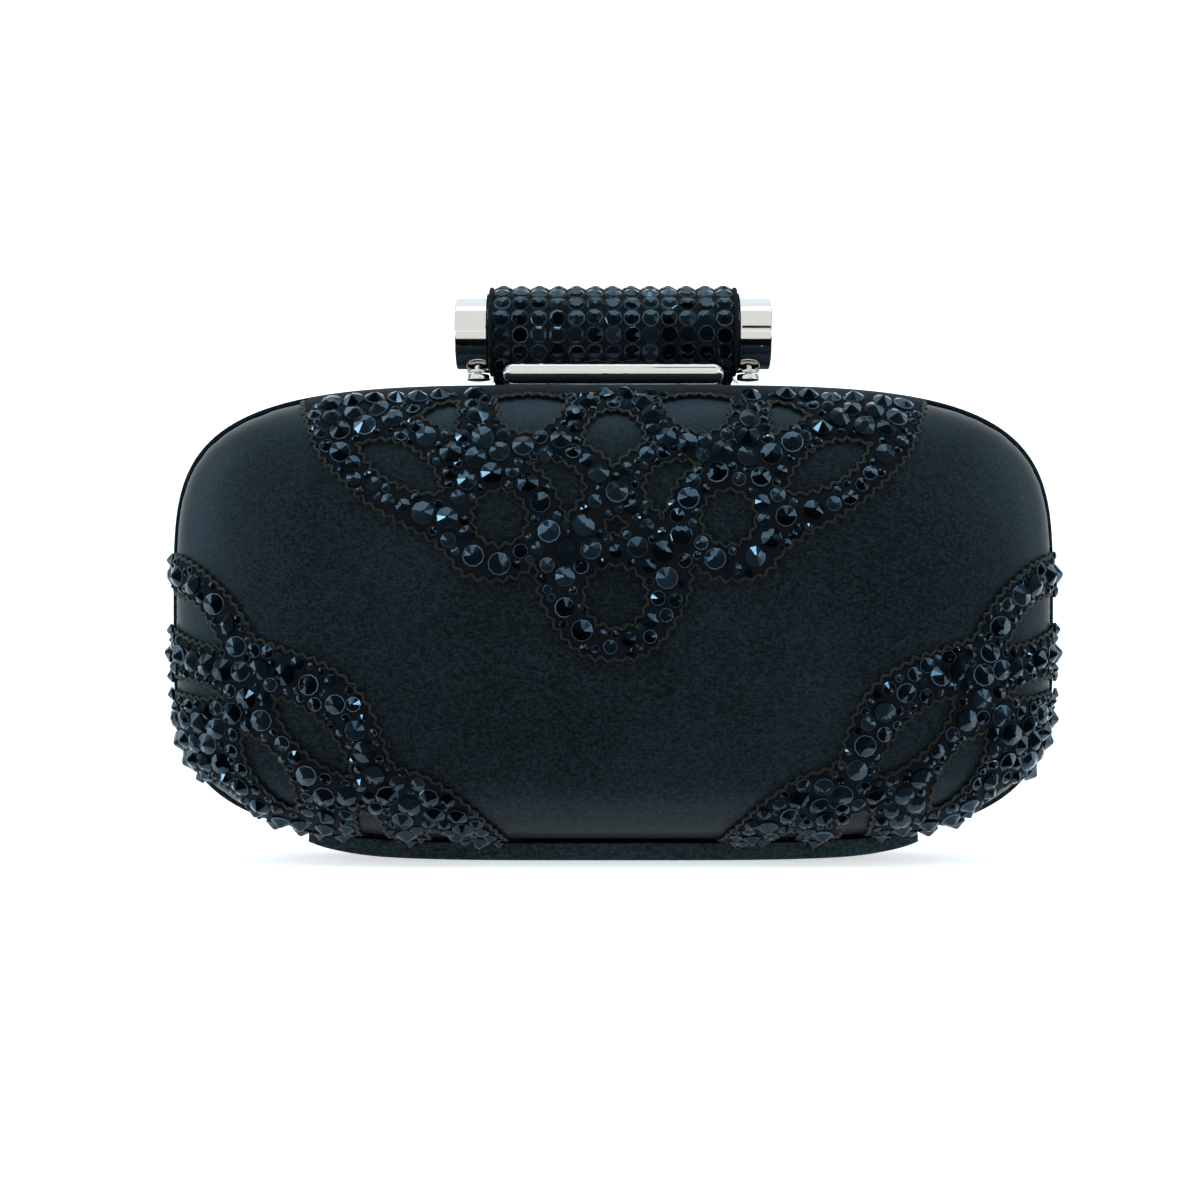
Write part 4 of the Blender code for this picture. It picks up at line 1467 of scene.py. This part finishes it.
@dataclass
class TubeClasp:
    """Tube clasp: a stone-set sleeve between polished caps, on wrapped legs."""

    finishes: Finishes
    sleeve_radius: float = 8.6
    collar_radius: float = 9.15
    stone_radius: float = 1.72
    columns: int = 13
    rows: int = 16
    bore_radius: float = 6.4
    edge_round: float = 0.45
    cap_wall: float = 1.6
    cup_radius: float = 1.76
    cup_thread: float = 0.14
    leg_wraps: int = 34
    leg_radius: float = 0.95
    leg_thread: float = 0.16
    leg_start: Pair = (-0.4, 98.0)
    leg_run: Pair = (7.6, -0.3)
    frayed_ends: int = 9
    frayed_thread: float = 0.055
    frayed_low: float = 96.45
    seed: int = 5

    def __post_init__(self) -> None:
        """Reads the tube's place from the frame."""
        low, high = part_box("bead_sleeve")
        self.centre: Pair = ((low.y + high.y) / 2 / MM, (low.z + high.z) / 2 / MM)
        self.half = high.x / MM
        self.rng = np.random.default_rng(self.seed)

    def _column(self, number: int) -> float:
        """Middle of a column of stones along the tube."""
        return (number - (self.columns - 1) / 2) * (2 * (self.half + 0.15) / self.columns)

    def _round_tube(self, x0: float, x1: float, radius: float, soft: float) -> tuple[Points, Faces]:
        """A soft-edged layer round the tube, from x0 to x1."""
        bore = self.bore_radius
        return turned(rounded([(bore, x0), (radius, x0), (radius, x1), (bore, x1)], soft), self.centre, "x")

    def sleeve(self) -> bpy.types.Object:
        """Wraps the tube in felt.

        Returns:
            The sleeve.
        """
        layer = self._round_tube(-self.half, self.half, self.sleeve_radius, 0.4)
        piece = make_piece("clasp_felt_sleeve", *layer, self.finishes.felt)
        return mount_piece(piece, Body.CLASP, ["bead_sleeve"])

    def stones(self) -> bpy.types.Object:
        """Sets the stones in rows round the tube.

        Returns:
            The stones.
        """
        places, normals = [], []
        for i in range(self.columns):
            x = self._column(i)
            for k in range(self.rows):
                angle = 2 * math.pi * (k + 0.5) / self.rows + self.rng.normal(0, 0.012)
                out = np.array([0.0, math.cos(angle), math.sin(angle)])
                places.append(
                    np.array([x + self.rng.normal(0, 0.07), *self.centre]) + out * (self.sleeve_radius - 0.12)
                )
                normals.append(out)
        radii = np.full(len(places), self.stone_radius) * self.rng.uniform(0.97, 1.03, len(places))
        cut = StoneCut(facets=8, girdle=0.12, height=0.45, table=0.3)
        piece = cut.piece(
            "clasp_stones", np.array(places), np.array(normals), radii, self.rng, self.finishes.jet, 0.03
        )
        return mount_piece(piece, Body.CLASP)

    def stone_cups(self) -> bpy.types.Object:
        """Puts a thin felt ring round the foot of each stone, as the sleeve's pile stands up there."""
        along = np.array([1.0, 0.0, 0.0])
        parts = []
        turn = np.linspace(0, 2 * math.pi, 14, endpoint=False)
        for i in range(self.columns):
            for k in range(self.rows):
                angle = 2 * math.pi * (k + 0.5) / self.rows
                out = np.array([0.0, math.cos(angle), math.sin(angle)])
                side = np.array([0.0, -math.sin(angle), math.cos(angle)])
                middle = np.array([self._column(i), *self.centre]) + out * (self.sleeve_radius + 0.02)
                loop = middle + self.cup_radius * (np.cos(turn)[:, None] * along + np.sin(turn)[:, None] * side)
                parts.append(tube_along(loop, self.cup_thread, 5, closed=True))
        piece = make_piece("clasp_stone_cups", *joined(parts), self.finishes.black_thread)
        return mount_piece(piece, Body.CLASP)

    def collar(self, hand: Hand) -> bpy.types.Object:
        """Rolls the sleeve's end into a collar."""
        low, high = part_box(f"{hand.name.lower()}_collar")
        layer = self._round_tube(low.x / MM - 0.12, high.x / MM + 0.12, self.collar_radius, self.edge_round)
        piece = make_piece(f"{hand.name.lower()}_rolled_collar", *layer, self.finishes.felt)
        return mount_piece(piece, Body.CLASP, [f"{hand.name.lower()}_collar"])

    def cap(self, hand: Hand) -> bpy.types.Object:
        """Turns a polished end cap with a soft outer edge."""
        low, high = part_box(f"{hand.name.lower()}_cap")
        outer = high.x if hand is Hand.RIGHT else low.x
        inner = low.x if hand is Hand.RIGHT else high.x
        outer, inner, sign = outer / MM, inner / MM, hand.value
        radius = (high.z - low.z) / 2 / MM
        profile = rounded(
            [
                (0.001, outer),
                (radius, outer),
                (radius, inner),
                (radius - self.cap_wall, inner),
                (radius - self.cap_wall, outer - sign * 1.0),
                (0.001, outer - sign * 1.0),
            ],
            self.edge_round,
        )
        points, faces = turned(profile, self.centre, "x", 128)
        if hand is Hand.RIGHT:
            faces = [face[::-1] for face in faces]
        name = f"{hand.name.lower()}_polished_cap"
        piece = make_piece(name, points, faces, self.finishes.chrome)
        return mount_piece(piece, Body.CLASP, [f"{hand.name.lower()}_cap"])

    def screw(self, hand: Hand) -> list[bpy.types.Object]:
        """Turns the domed screw and the washer under a cap."""
        word = hand.name.lower()
        low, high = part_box(f"{word}_cap_screw")
        wlow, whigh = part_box(f"{word}_cap_washer")
        centre = ((low.x + high.x) / 2 / MM, (low.y + high.y) / 2 / MM)
        z0, z1, r = low.z / MM, high.z / MM, (high.x - low.x) / 2 / MM
        head = [(0.001, z0)]
        head += [(r * math.sin(a), z0 + 0.45 * (1 - math.cos(a))) for a in np.linspace(0.3, math.pi / 2, 6)]
        seam = (z0 + 1.5 + wlow.z / MM) / 2
        head += [(r, z0 + 0.6), (r, seam - 0.3), (r - 0.2, seam - 0.1), (0.7, seam - 0.1), (0.7, z1), (0.001, z1)]
        screw = make_piece(f"{word}_domed_screw", *turned(head, centre, "z", 48), self.finishes.chrome)
        disc = rounded([(1.0, seam + 0.1), (r, seam + 0.1), (r, whigh.z / MM), (1.0, whigh.z / MM)], 0.25)
        washer = make_piece(f"{word}_washer", *turned(disc, centre, "z", 48), self.finishes.chrome)
        return [
            mount_piece(screw, Body.CLASP, [f"{word}_cap_screw"]),
            mount_piece(washer, Body.CLASP, [f"{word}_cap_washer"]),
        ]

    def leg(self, hand: Hand) -> list[bpy.types.Object]:
        """Wraps a leg in thread, with a few frayed ends at its foot."""
        word = hand.name.lower()
        low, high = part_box(f"{word}_leg")
        x = (low.x + high.x) / 2 / MM
        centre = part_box("clasp_pivot_pin")
        pin = ((centre[0].y + centre[1].y) / 2 / MM, (centre[0].z + centre[1].z) / 2 / MM)
        parts = []
        for k in range(self.leg_wraps):
            share = k / (self.leg_wraps - 1)
            y, z = (start + run * share for start, run in zip(self.leg_start, self.leg_run))
            tall = 1.15 + 0.1 * math.sin(k * 2.4)
            turn = np.linspace(0, 2 * math.pi, 16, endpoint=False)
            loop = np.stack(
                [
                    x + self.leg_radius * np.cos(turn) + 0.08 * math.sin(k * 1.9),
                    np.full(16, y) + 0.12 * np.sin(turn),
                    z + tall * np.sin(turn),
                ],
                axis=1,
            )
            parts.append(tube_along(loop, self.leg_thread, 6, closed=True))
        wrap = make_piece(f"{word}_leg_wrapping", *joined(parts), self.finishes.black_thread)
        mount_piece(wrap, Body.CLASP)
        threads = []
        for k in range(self.frayed_ends):
            away = hand.value * self.rng.uniform(0.2, 1.0) * (1 if k % 3 else -0.7)
            length = self.rng.uniform(1.6, 3.6)
            t = np.linspace(0, 1, 12)
            start = np.array([x + self.rng.uniform(-0.8, 0.8), -1.2, 97.6])
            path = start + np.stack(
                [
                    away * length * t,
                    -self.rng.uniform(0.5, 2.2) * t,
                    length * (self.rng.uniform(0.1, 0.5) * t - self.rng.uniform(0.3, 0.9) * t**2),
                ],
                axis=1,
            )
            path[:, 2] = np.maximum(path[:, 2], self.frayed_low)
            threads.append(tube_along(path, self.frayed_thread, 4))
        fray = make_piece(f"{word}_frayed_ends", *joined(threads), self.finishes.black_thread)
        mount_piece(fray, Body.CLASP)
        LOG.info("%s leg stands on the pin at y %.1f, z %.1f", word, *pin)
        return [wrap, fray]

    def spring(self) -> bpy.types.Object:
        """Winds the torsion spring round the pivot pin."""
        low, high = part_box("clasp_spring")
        centre = ((low.y + high.y) / 2 / MM, (low.z + high.z) / 2 / MM)
        coils, wire = 14, 0.24
        t = np.linspace(0, 1, coils * 20)
        radius = (high.z - low.z) / 2 / MM - wire
        angle = 2 * math.pi * coils * t
        path = np.stack(
            [
                low.x / MM + (high.x - low.x) / MM * t,
                centre[0] + radius * np.cos(angle),
                centre[1] + radius * np.sin(angle),
            ],
            axis=1,
        )
        piece = make_piece("clasp_torsion_coil", *tube_along(path, wire, 8), self.finishes.steel)
        return mount_piece(piece, Body.BACK, ["clasp_spring"])

    def build(self) -> list[bpy.types.Object]:
        """Builds the clasp.

        Returns:
            Its pieces.
        """
        sleeve = self.sleeve()
        trim = [self.stones(), self.stone_cups(), self.collar(Hand.LEFT), self.collar(Hand.RIGHT)]
        pieces = [sleeve, *trim, self.spring()]
        for hand in Hand:
            pieces += [self.cap(hand), *self.screw(hand), *self.leg(hand)]
        return pieces


@dataclass
class KeeperBar:
    """Polished bar on the front frame, with a rounded face and rounded ends."""

    finishes: Finishes
    face_depth: float = 1.9
    apex_lift: float = 0.45
    low_edge: float = 96.25
    sides: int = 96
    plate_half: float = 20.0
    plate_high: float = 97.0
    plate_thick: float = 0.35

    def build(self) -> list[bpy.types.Object]:
        """Builds the bar and its plate.

        Returns:
            One piece.
        """
        low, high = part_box("keeper_bar")
        half = high.x / MM
        z0, z1, y0 = self.low_edge, high.z / MM, low.y / MM
        middle, radius = (z0 + z1) / 2, (z1 - z0) / 2
        turn = np.linspace(0, 2 * math.pi, self.sides, endpoint=False)
        z = middle + radius * np.sin(turn)
        rows = []
        face = [(math.cos(a), y0 + self.face_depth * (1 - math.sin(a))) for a in np.linspace(0, 1.45, 14)]
        for share, y in [(0.8, -4.0), (0.97, -4.0), (1.0, -4.15), *face]:
            xs = np.sign(np.cos(turn)) * (half - radius) + radius * share * np.cos(turn)
            height = middle + (z - middle) * share + self.apex_lift * radius * (1 - share)
            rows.append(np.stack([xs, np.full(self.sides, y), height], axis=1))
        points = np.concatenate(rows)
        faces = grid_faces(len(rows), self.sides, close_columns=True)
        faces.append(tuple(range(self.sides))[::-1])
        faces.append(tuple(range(len(points) - self.sides, len(points))))
        wide, high_z = self.plate_half, self.plate_high
        plate = rounded([(-wide, -4.6), (wide, -4.6), (wide, -0.6), (-wide, -0.6)], 0.6, closed=True)
        count = len(plate)
        sheet = np.array([(px, py, pz) for pz in (high_z - self.plate_thick, high_z) for px, py in plate])
        sheet_faces: Faces = grid_faces(2, count, close_columns=True)
        sheet_faces += [tuple(range(count))[::-1], tuple(range(count, 2 * count))]
        piece = make_piece(
            "polished_keeper_bar", *joined([(points, faces), (sheet, sheet_faces)]), self.finishes.chrome
        )
        return [mount_piece(piece, Body.FRONT, ["keeper_bar"])]


# ------------------------------------------------------------------ base strip and inside


@dataclass
class BaseStrip:
    """Doubled satin strip under the hinge, on which the purse stands."""

    form: ShellForm
    finishes: Finishes
    wall: float = 0.75
    wall_top: float = 3.5
    flat_half: float = 45.0
    end_low: float = 2.6
    end_squash: float = 0.35
    end_narrow: float = 0.18
    end_length: float = 6.0
    lean: float = 0.1

    def _rim_low(self, x: float) -> float:
        """Height of the rim's underside at x."""
        a, b = self.form.spans(0.0)
        power = self.form.squareness
        return self.form.middle - b * (1 - abs(x / a) ** power) ** (1 / power)

    def build(self) -> list[bpy.types.Object]:
        """Builds the strip.

        Returns:
            One piece.
        """
        _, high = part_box("hinge_cover")
        half, deep = high.x / MM, high.y / MM
        lift_end = high.z / MM - self.end_low
        top = self.wall_top
        stations = np.linspace(-half, half, 70)
        section = rounded(
            [
                (-deep, top),
                (-deep, 0.0),
                (deep, 0.0),
                (deep, top),
                (deep - self.wall, top),
                (deep - self.wall, self.wall),
                (-deep + self.wall, self.wall),
                (-deep + self.wall, top),
            ],
            0.36,
            closed=True,
        )
        dense: list[Pair] = []
        for (y0, z0), (y1, z1) in zip(section, section[1:] + section[:1]):
            parts = max(1, int(abs(y1 - y0) / 1.0))
            dense += [(y0 + (y1 - y0) * k / parts, z0 + (z1 - z0) * k / parts) for k in range(parts)]
        rows = []
        for x in stations:
            over = max(0.0, abs(x) - self.flat_half) / (half - self.flat_half)
            rise = max(lift_end * over**2, 0.95 * (self._rim_low(x) - self._rim_low(0.0)))
            squash = 1 - self.end_squash * over**2
            past = max(0.0, (abs(x) - half + self.end_length) / self.end_length)
            narrow = 1 - self.end_narrow * past**3
            lean = [1 - self.lean * z / top for _, z in dense]
            rows.append(
                np.array(
                    [(x, y * narrow * n, top + rise - (top - z) * squash) for (y, z), n in zip(dense, lean)]
                )
            )
        count = len(dense)
        faces = grid_faces(len(rows), count, close_columns=True)
        faces += [tuple(range(count)), tuple(range((len(rows) - 1) * count, len(rows) * count))[::-1]]
        # Same satin as the halves, painted lighter: a painted highlight for the light the strip's front catches from
        # below and in front.
        piece = make_piece("satin_base_strip", np.concatenate(rows), faces, self.finishes.lit_base_satin)
        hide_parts("hinge_cover")
        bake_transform(piece)
        return [piece]


@dataclass
class SideGusset:
    """Pleated side gusset: folded shut between the halves."""

    form: ShellForm
    hand: Hand
    finishes: Finishes
    pleats: int = 3
    depth: float = 11.0
    inset: float = 4.6
    half_gap: float = 1.05

    def build(self) -> list[bpy.types.Object]:
        """Builds the gusset.

        Returns:
            One piece.
        """
        word = self.hand.name.lower()
        low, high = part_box(f"{word}_gusset")
        a, b = self.form.spans(self.inset)
        heights = np.linspace(low.z / MM, high.z / MM, 30)
        folds = 2 * self.pleats
        columns = folds * 6 + 1
        share = np.linspace(0, 1, columns)
        fold = 1 - np.abs(((share * folds) % 2) - 1)
        rows = []
        for z in heights:
            ratio = abs((z - self.form.middle) / b) ** self.form.squareness
            outer = a * (1 - ratio) ** (1 / self.form.squareness)
            take = self.depth * (0.55 + 0.45 * (z - heights[0]) / (heights[-1] - heights[0]))
            x = self.hand.value * (outer - take * fold)
            y = self.half_gap - 2 * self.half_gap * share
            rows.append(np.stack([x, y, np.full(columns, z)], axis=1))
        piece = make_piece(
            f"{word}_pleated_gusset", np.concatenate(rows), grid_faces(len(rows), columns), self.finishes.lining
        )
        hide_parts(f"{word}_gusset")
        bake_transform(piece)
        return [piece]


@dataclass
class SlipPocket:
    """Patch pocket on the back lining, with a folded hem along its mouth."""

    form: ShellForm
    finishes: Finishes
    inset: float = 6.35
    columns: int = 60
    rows: int = 30
    mouth_sag: float = 0.9
    hem_radius: float = 0.55
    turnings: float = 1.12

    def build(self) -> list[bpy.types.Object]:
        """Builds the pocket and its hem.

        Returns:
            The pocket and its hem.
        """
        low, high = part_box("slip_pocket")
        xs = np.linspace(low.x, high.x, self.columns) / MM
        zs = np.linspace(low.z, high.z, self.rows) / MM
        flat = np.array([(x, z) for z in zs for x in xs])
        points = self.form.raise_to(flat, self.inset, Side.BACK)
        sag = np.exp(-((zs[-1] - flat[:, 1]) / 9.0) ** 2) * (1 - (flat[:, 0] / xs[-1]) ** 2)
        points[:, 1] -= self.mouth_sag * sag
        faces = grid_faces(self.rows, self.columns)
        piece = make_piece("twill_slip_pocket", points, faces, self.finishes.lining)
        mount_piece(piece, Body.BACK, ["slip_pocket"])
        top = points[-self.columns :] + np.array([0.0, -0.1, 0.0])
        hem = make_piece("slip_pocket_hem", *tube_along(top, self.hem_radius, 8), self.finishes.lining)
        mount_piece(hem, Body.BACK)
        return [piece, hem]


@dataclass
class Hardware:
    """Metal and board pieces of the frame that keep their own shape and get a finish."""

    finishes: Finishes
    nodes: dict[str, bpy.types.Object]
    steel: tuple[str, ...] = (
        "clasp_bracket",
        "clasp_pivot_pin",
        "clasp_core",
        "catch_hook",
        "back_hinge_leaf",
        "front_hinge_leaf",
        "hinge_pin",
    )
    chrome: tuple[str, ...] = (
        "bracket_rivet_left",
        "bracket_rivet_right",
        "keeper_rivet_left",
        "keeper_rivet_right",
    )
    board: tuple[str, ...] = ("back_shell", "front_shell")
    wrapped: tuple[str, ...] = ("left_leg", "right_leg")

    def dress(self) -> int:
        """Gives each node its finish.

        Returns:
            How many nodes were dressed.
        """
        groups = (
            (self.steel, self.finishes.steel),
            (self.chrome, self.finishes.chrome),
            (self.board, self.finishes.board),
            (self.wrapped, self.finishes.felt),
        )
        count = 0
        for names, material in groups:
            for name in names:
                mesh = self.nodes[name].data
                mesh.materials.clear()
                mesh.materials.append(material)
                count += 1
        return count


# ------------------------------------------------------------------ studio


@dataclass
class Studio:
    """Seamless paper, soft lights and the camera."""

    polished: bpy.types.Material
    camera_at: tuple[float, float, float] = (-0.0027, -0.400, 0.0524)
    lens: float = 58.5
    daylight: str = "#def5ff"

    def paper(self) -> None:
        """Rolls out the background paper."""
        profile = rounded([(-1500.0, 0.0), (900.0, 0.0), (900.0, 2600.0)], 700.0, steps=24)
        points = np.array([(x, y, z - 0.05) for x in (-2500.0, 2500.0) for y, z in profile])
        count = len(profile)
        faces = [(j, j + 1, count + j + 1, count + j)[::-1] for j in range(count - 1)]
        paper = make_piece("studio_paper", points, faces, StudioPaper().build())

    def card(self, name: str, corners: Points, shade: str) -> None:
        """Stands up a card that only reflections see.

        Args:
            name: Name of the card.
            corners: Its four corners.
            shade: Its sRGB colour.
        """
        piece = make_piece(name, corners, [(0, 1, 2, 3)], StudioPaper(name, shade, 0.0).build(), smooth=False)
        piece.visible_camera = False
        piece.visible_diffuse = False
        piece.visible_shadow = False

    def softbox(
        self,
        name: str,
        at: tuple[float, float, float],
        size: tuple[float, float],
        brightness: float,
        only: Sequence[bpy.types.Object],
        level: bool = False,
        colour: str = "#ffffff",
    ) -> None:
        """Hangs a softbox that faces the purse.

        Args:
            name: Name of the light.
            at: Its place in metres.
            size: Width and height in metres.
            brightness: Brightness of its face, where the white paper is about 1.
            only: Pieces that it lights.
            level: Whether it stands upright instead of leaning towards the purse.
            colour: Its sRGB colour.
        """
        light = bpy.data.lights.new(name, "AREA")
        light.shape = "RECTANGLE"
        light.size, light.size_y = size
        light.energy = brightness * math.pi * size[0] * size[1]
        light.color = to_linear(colour)[:3]
        lamp = bpy.data.objects.new(name, light)
        lamp.location = at
        toward = Vector((0.0, 0.0, at[2] if level else 0.05)) - Vector(at)
        lamp.rotation_euler = toward.to_track_quat("-Z", "Y").to_euler()
        lamp.visible_camera = False
        bpy.context.scene.collection.objects.link(lamp)
        lit = bpy.data.collections.new(f"lit_by_{name}")
        for piece in only:
            lit.objects.link(piece)
        lamp.light_linking.receiver_collection = lit

    def room(self) -> None:
        """Makes a bright room that is darker on the camera's side."""
        world = bpy.data.worlds.new("white_room")
        bpy.context.scene.world = world
        world.use_nodes = True
        tree = world.node_tree
        background = tree.nodes["Background"]
        where = add_node(tree, "ShaderNodeTexCoord").outputs["Generated"]
        parts = add_node(tree, "ShaderNodeSeparateXYZ", {0: where}).outputs
        dark = add_node(
            tree, "ShaderNodeMapRange", {"Value": parts["Y"], "From Min": -0.12, "From Max": -0.55}
        ).outputs[0]
        colour = add_node(
            tree,
            "ShaderNodeMix",
            {0: dark, 6: to_linear("#88a3b3"), 7: to_linear("#1b2024")},
            data_type="RGBA",
        ).outputs[2]
        seen = add_node(tree, "ShaderNodeLightPath").outputs["Is Camera Ray"]
        backdrop = add_node(
            tree, "ShaderNodeMix", {0: seen, 6: colour, 7: to_linear("#ffffff")}, data_type="RGBA"
        ).outputs[2]
        tree.links.new(backdrop, background.inputs["Color"])
        background.inputs["Strength"].default_value = 1.0

    def camera(self) -> None:
        """Sets the camera level with the middle of the purse."""
        data = bpy.data.cameras.new("camera")
        data.lens = self.lens
        data.sensor_width = 36.0
        data.clip_start = 0.01
        camera = bpy.data.objects.new("camera", data)
        camera.location = self.camera_at
        camera.rotation_euler = (math.radians(90), 0.0, 0.0)
        bpy.context.scene.collection.objects.link(camera)
        bpy.context.scene.camera = camera

    def build(self) -> None:
        """Sets up the studio."""
        bpy.context.scene.view_settings.view_transform = "Standard"
        self.paper()
        self.room()
        meshes = [o for o in bpy.data.objects if o.type == "MESH"]
        metals = [o for o in meshes if self.polished in list(o.data.materials)]
        others = [o for o in meshes if o not in metals]
        self.softbox("top_softbox", (0.0, -0.1, 1.1), (1.2, 0.7), 2.6, others, colour=self.daylight)
        self.softbox("left_softbox", (-1.0, -0.12, 0.45), (0.4, 0.9), 3.7, others, colour=self.daylight)
        self.softbox("right_softbox", (1.0, -0.12, 0.45), (0.4, 0.9), 3.1, others, colour=self.daylight)
        lamps = ((-0.5, -0.75, 0.7), (0.35, -0.8, 0.8), (0.75, -0.6, 0.3), (-0.85, -0.4, 0.15), (0.05, -0.5, 1.0))
        for number, place in enumerate(lamps):
            self.softbox(f"glint_lamp_{number}", place, (0.09, 0.09), 30.0, others, colour=self.daylight)
        self.softbox("metal_softbox", (0.0, -0.215, 0.4), (1.6, 0.8), 0.84, metals, level=True)
        self.softbox("metal_top_softbox", (0.0, 0.1, 1.2), (2.2, 1.6), 0.7, metals)
        floor = [(-700.0, -28.0, 0.6), (700.0, -28.0, 0.6), (700.0, -1300.0, 0.6), (-700.0, -1300.0, 0.6)]
        self.card("dark_floor_card", np.array(floor), "#05070a")
        back = [(28.0, -200.0, 122.0), (130.0, -200.0, 122.0), (130.0, -200.0, 148.0), (28.0, -200.0, 148.0)]
        self.card("dark_camera_back", np.array(back), "#1a1513")
        self.camera()


def clear_scene() -> None:
    """Removes what the startup file holds."""
    for item in list(bpy.data.objects):
        bpy.data.objects.remove(item, do_unlink=True)


def main() -> None:
    """Builds the purse and its studio."""
    logging.basicConfig(level=logging.INFO, format="%(name)s: %(message)s")
    clear_scene()
    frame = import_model()
    form = ShellForm.from_frame()
    finishes = Finishes()
    corner, gaps = corner_applique_outline(), corner_applique_openings()
    parts = [
        PaddedHalf(form, Side.BACK, finishes),
        PaddedHalf(form, Side.FRONT, finishes),
        BeadedApplique("top_applique", top_applique_outline(), top_applique_openings(), form, finishes, 3),
        BeadedApplique("left_applique", corner, gaps, form, finishes, 7, rim_gap=1.5),
        BeadedApplique(
            "right_applique", mirror(corner), [mirror(gap) for gap in gaps], form, finishes, 11, rim_gap=1.5
        ),
        TubeClasp(finishes),
        KeeperBar(finishes),
        BaseStrip(form, finishes),
        SideGusset(form, Hand.LEFT, finishes),
        SideGusset(form, Hand.RIGHT, finishes),
        SlipPocket(form, finishes),
    ]
    for part in parts:
        for piece in part.build():
            LOG.info("built %s (%d faces)", piece.name, len(piece.data.polygons))
    LOG.info("dressed %d frame nodes", Hardware(finishes, frame["nodes"]).dress())
    Studio(finishes.chrome).build()


if __name__ == "__main__":
    main()
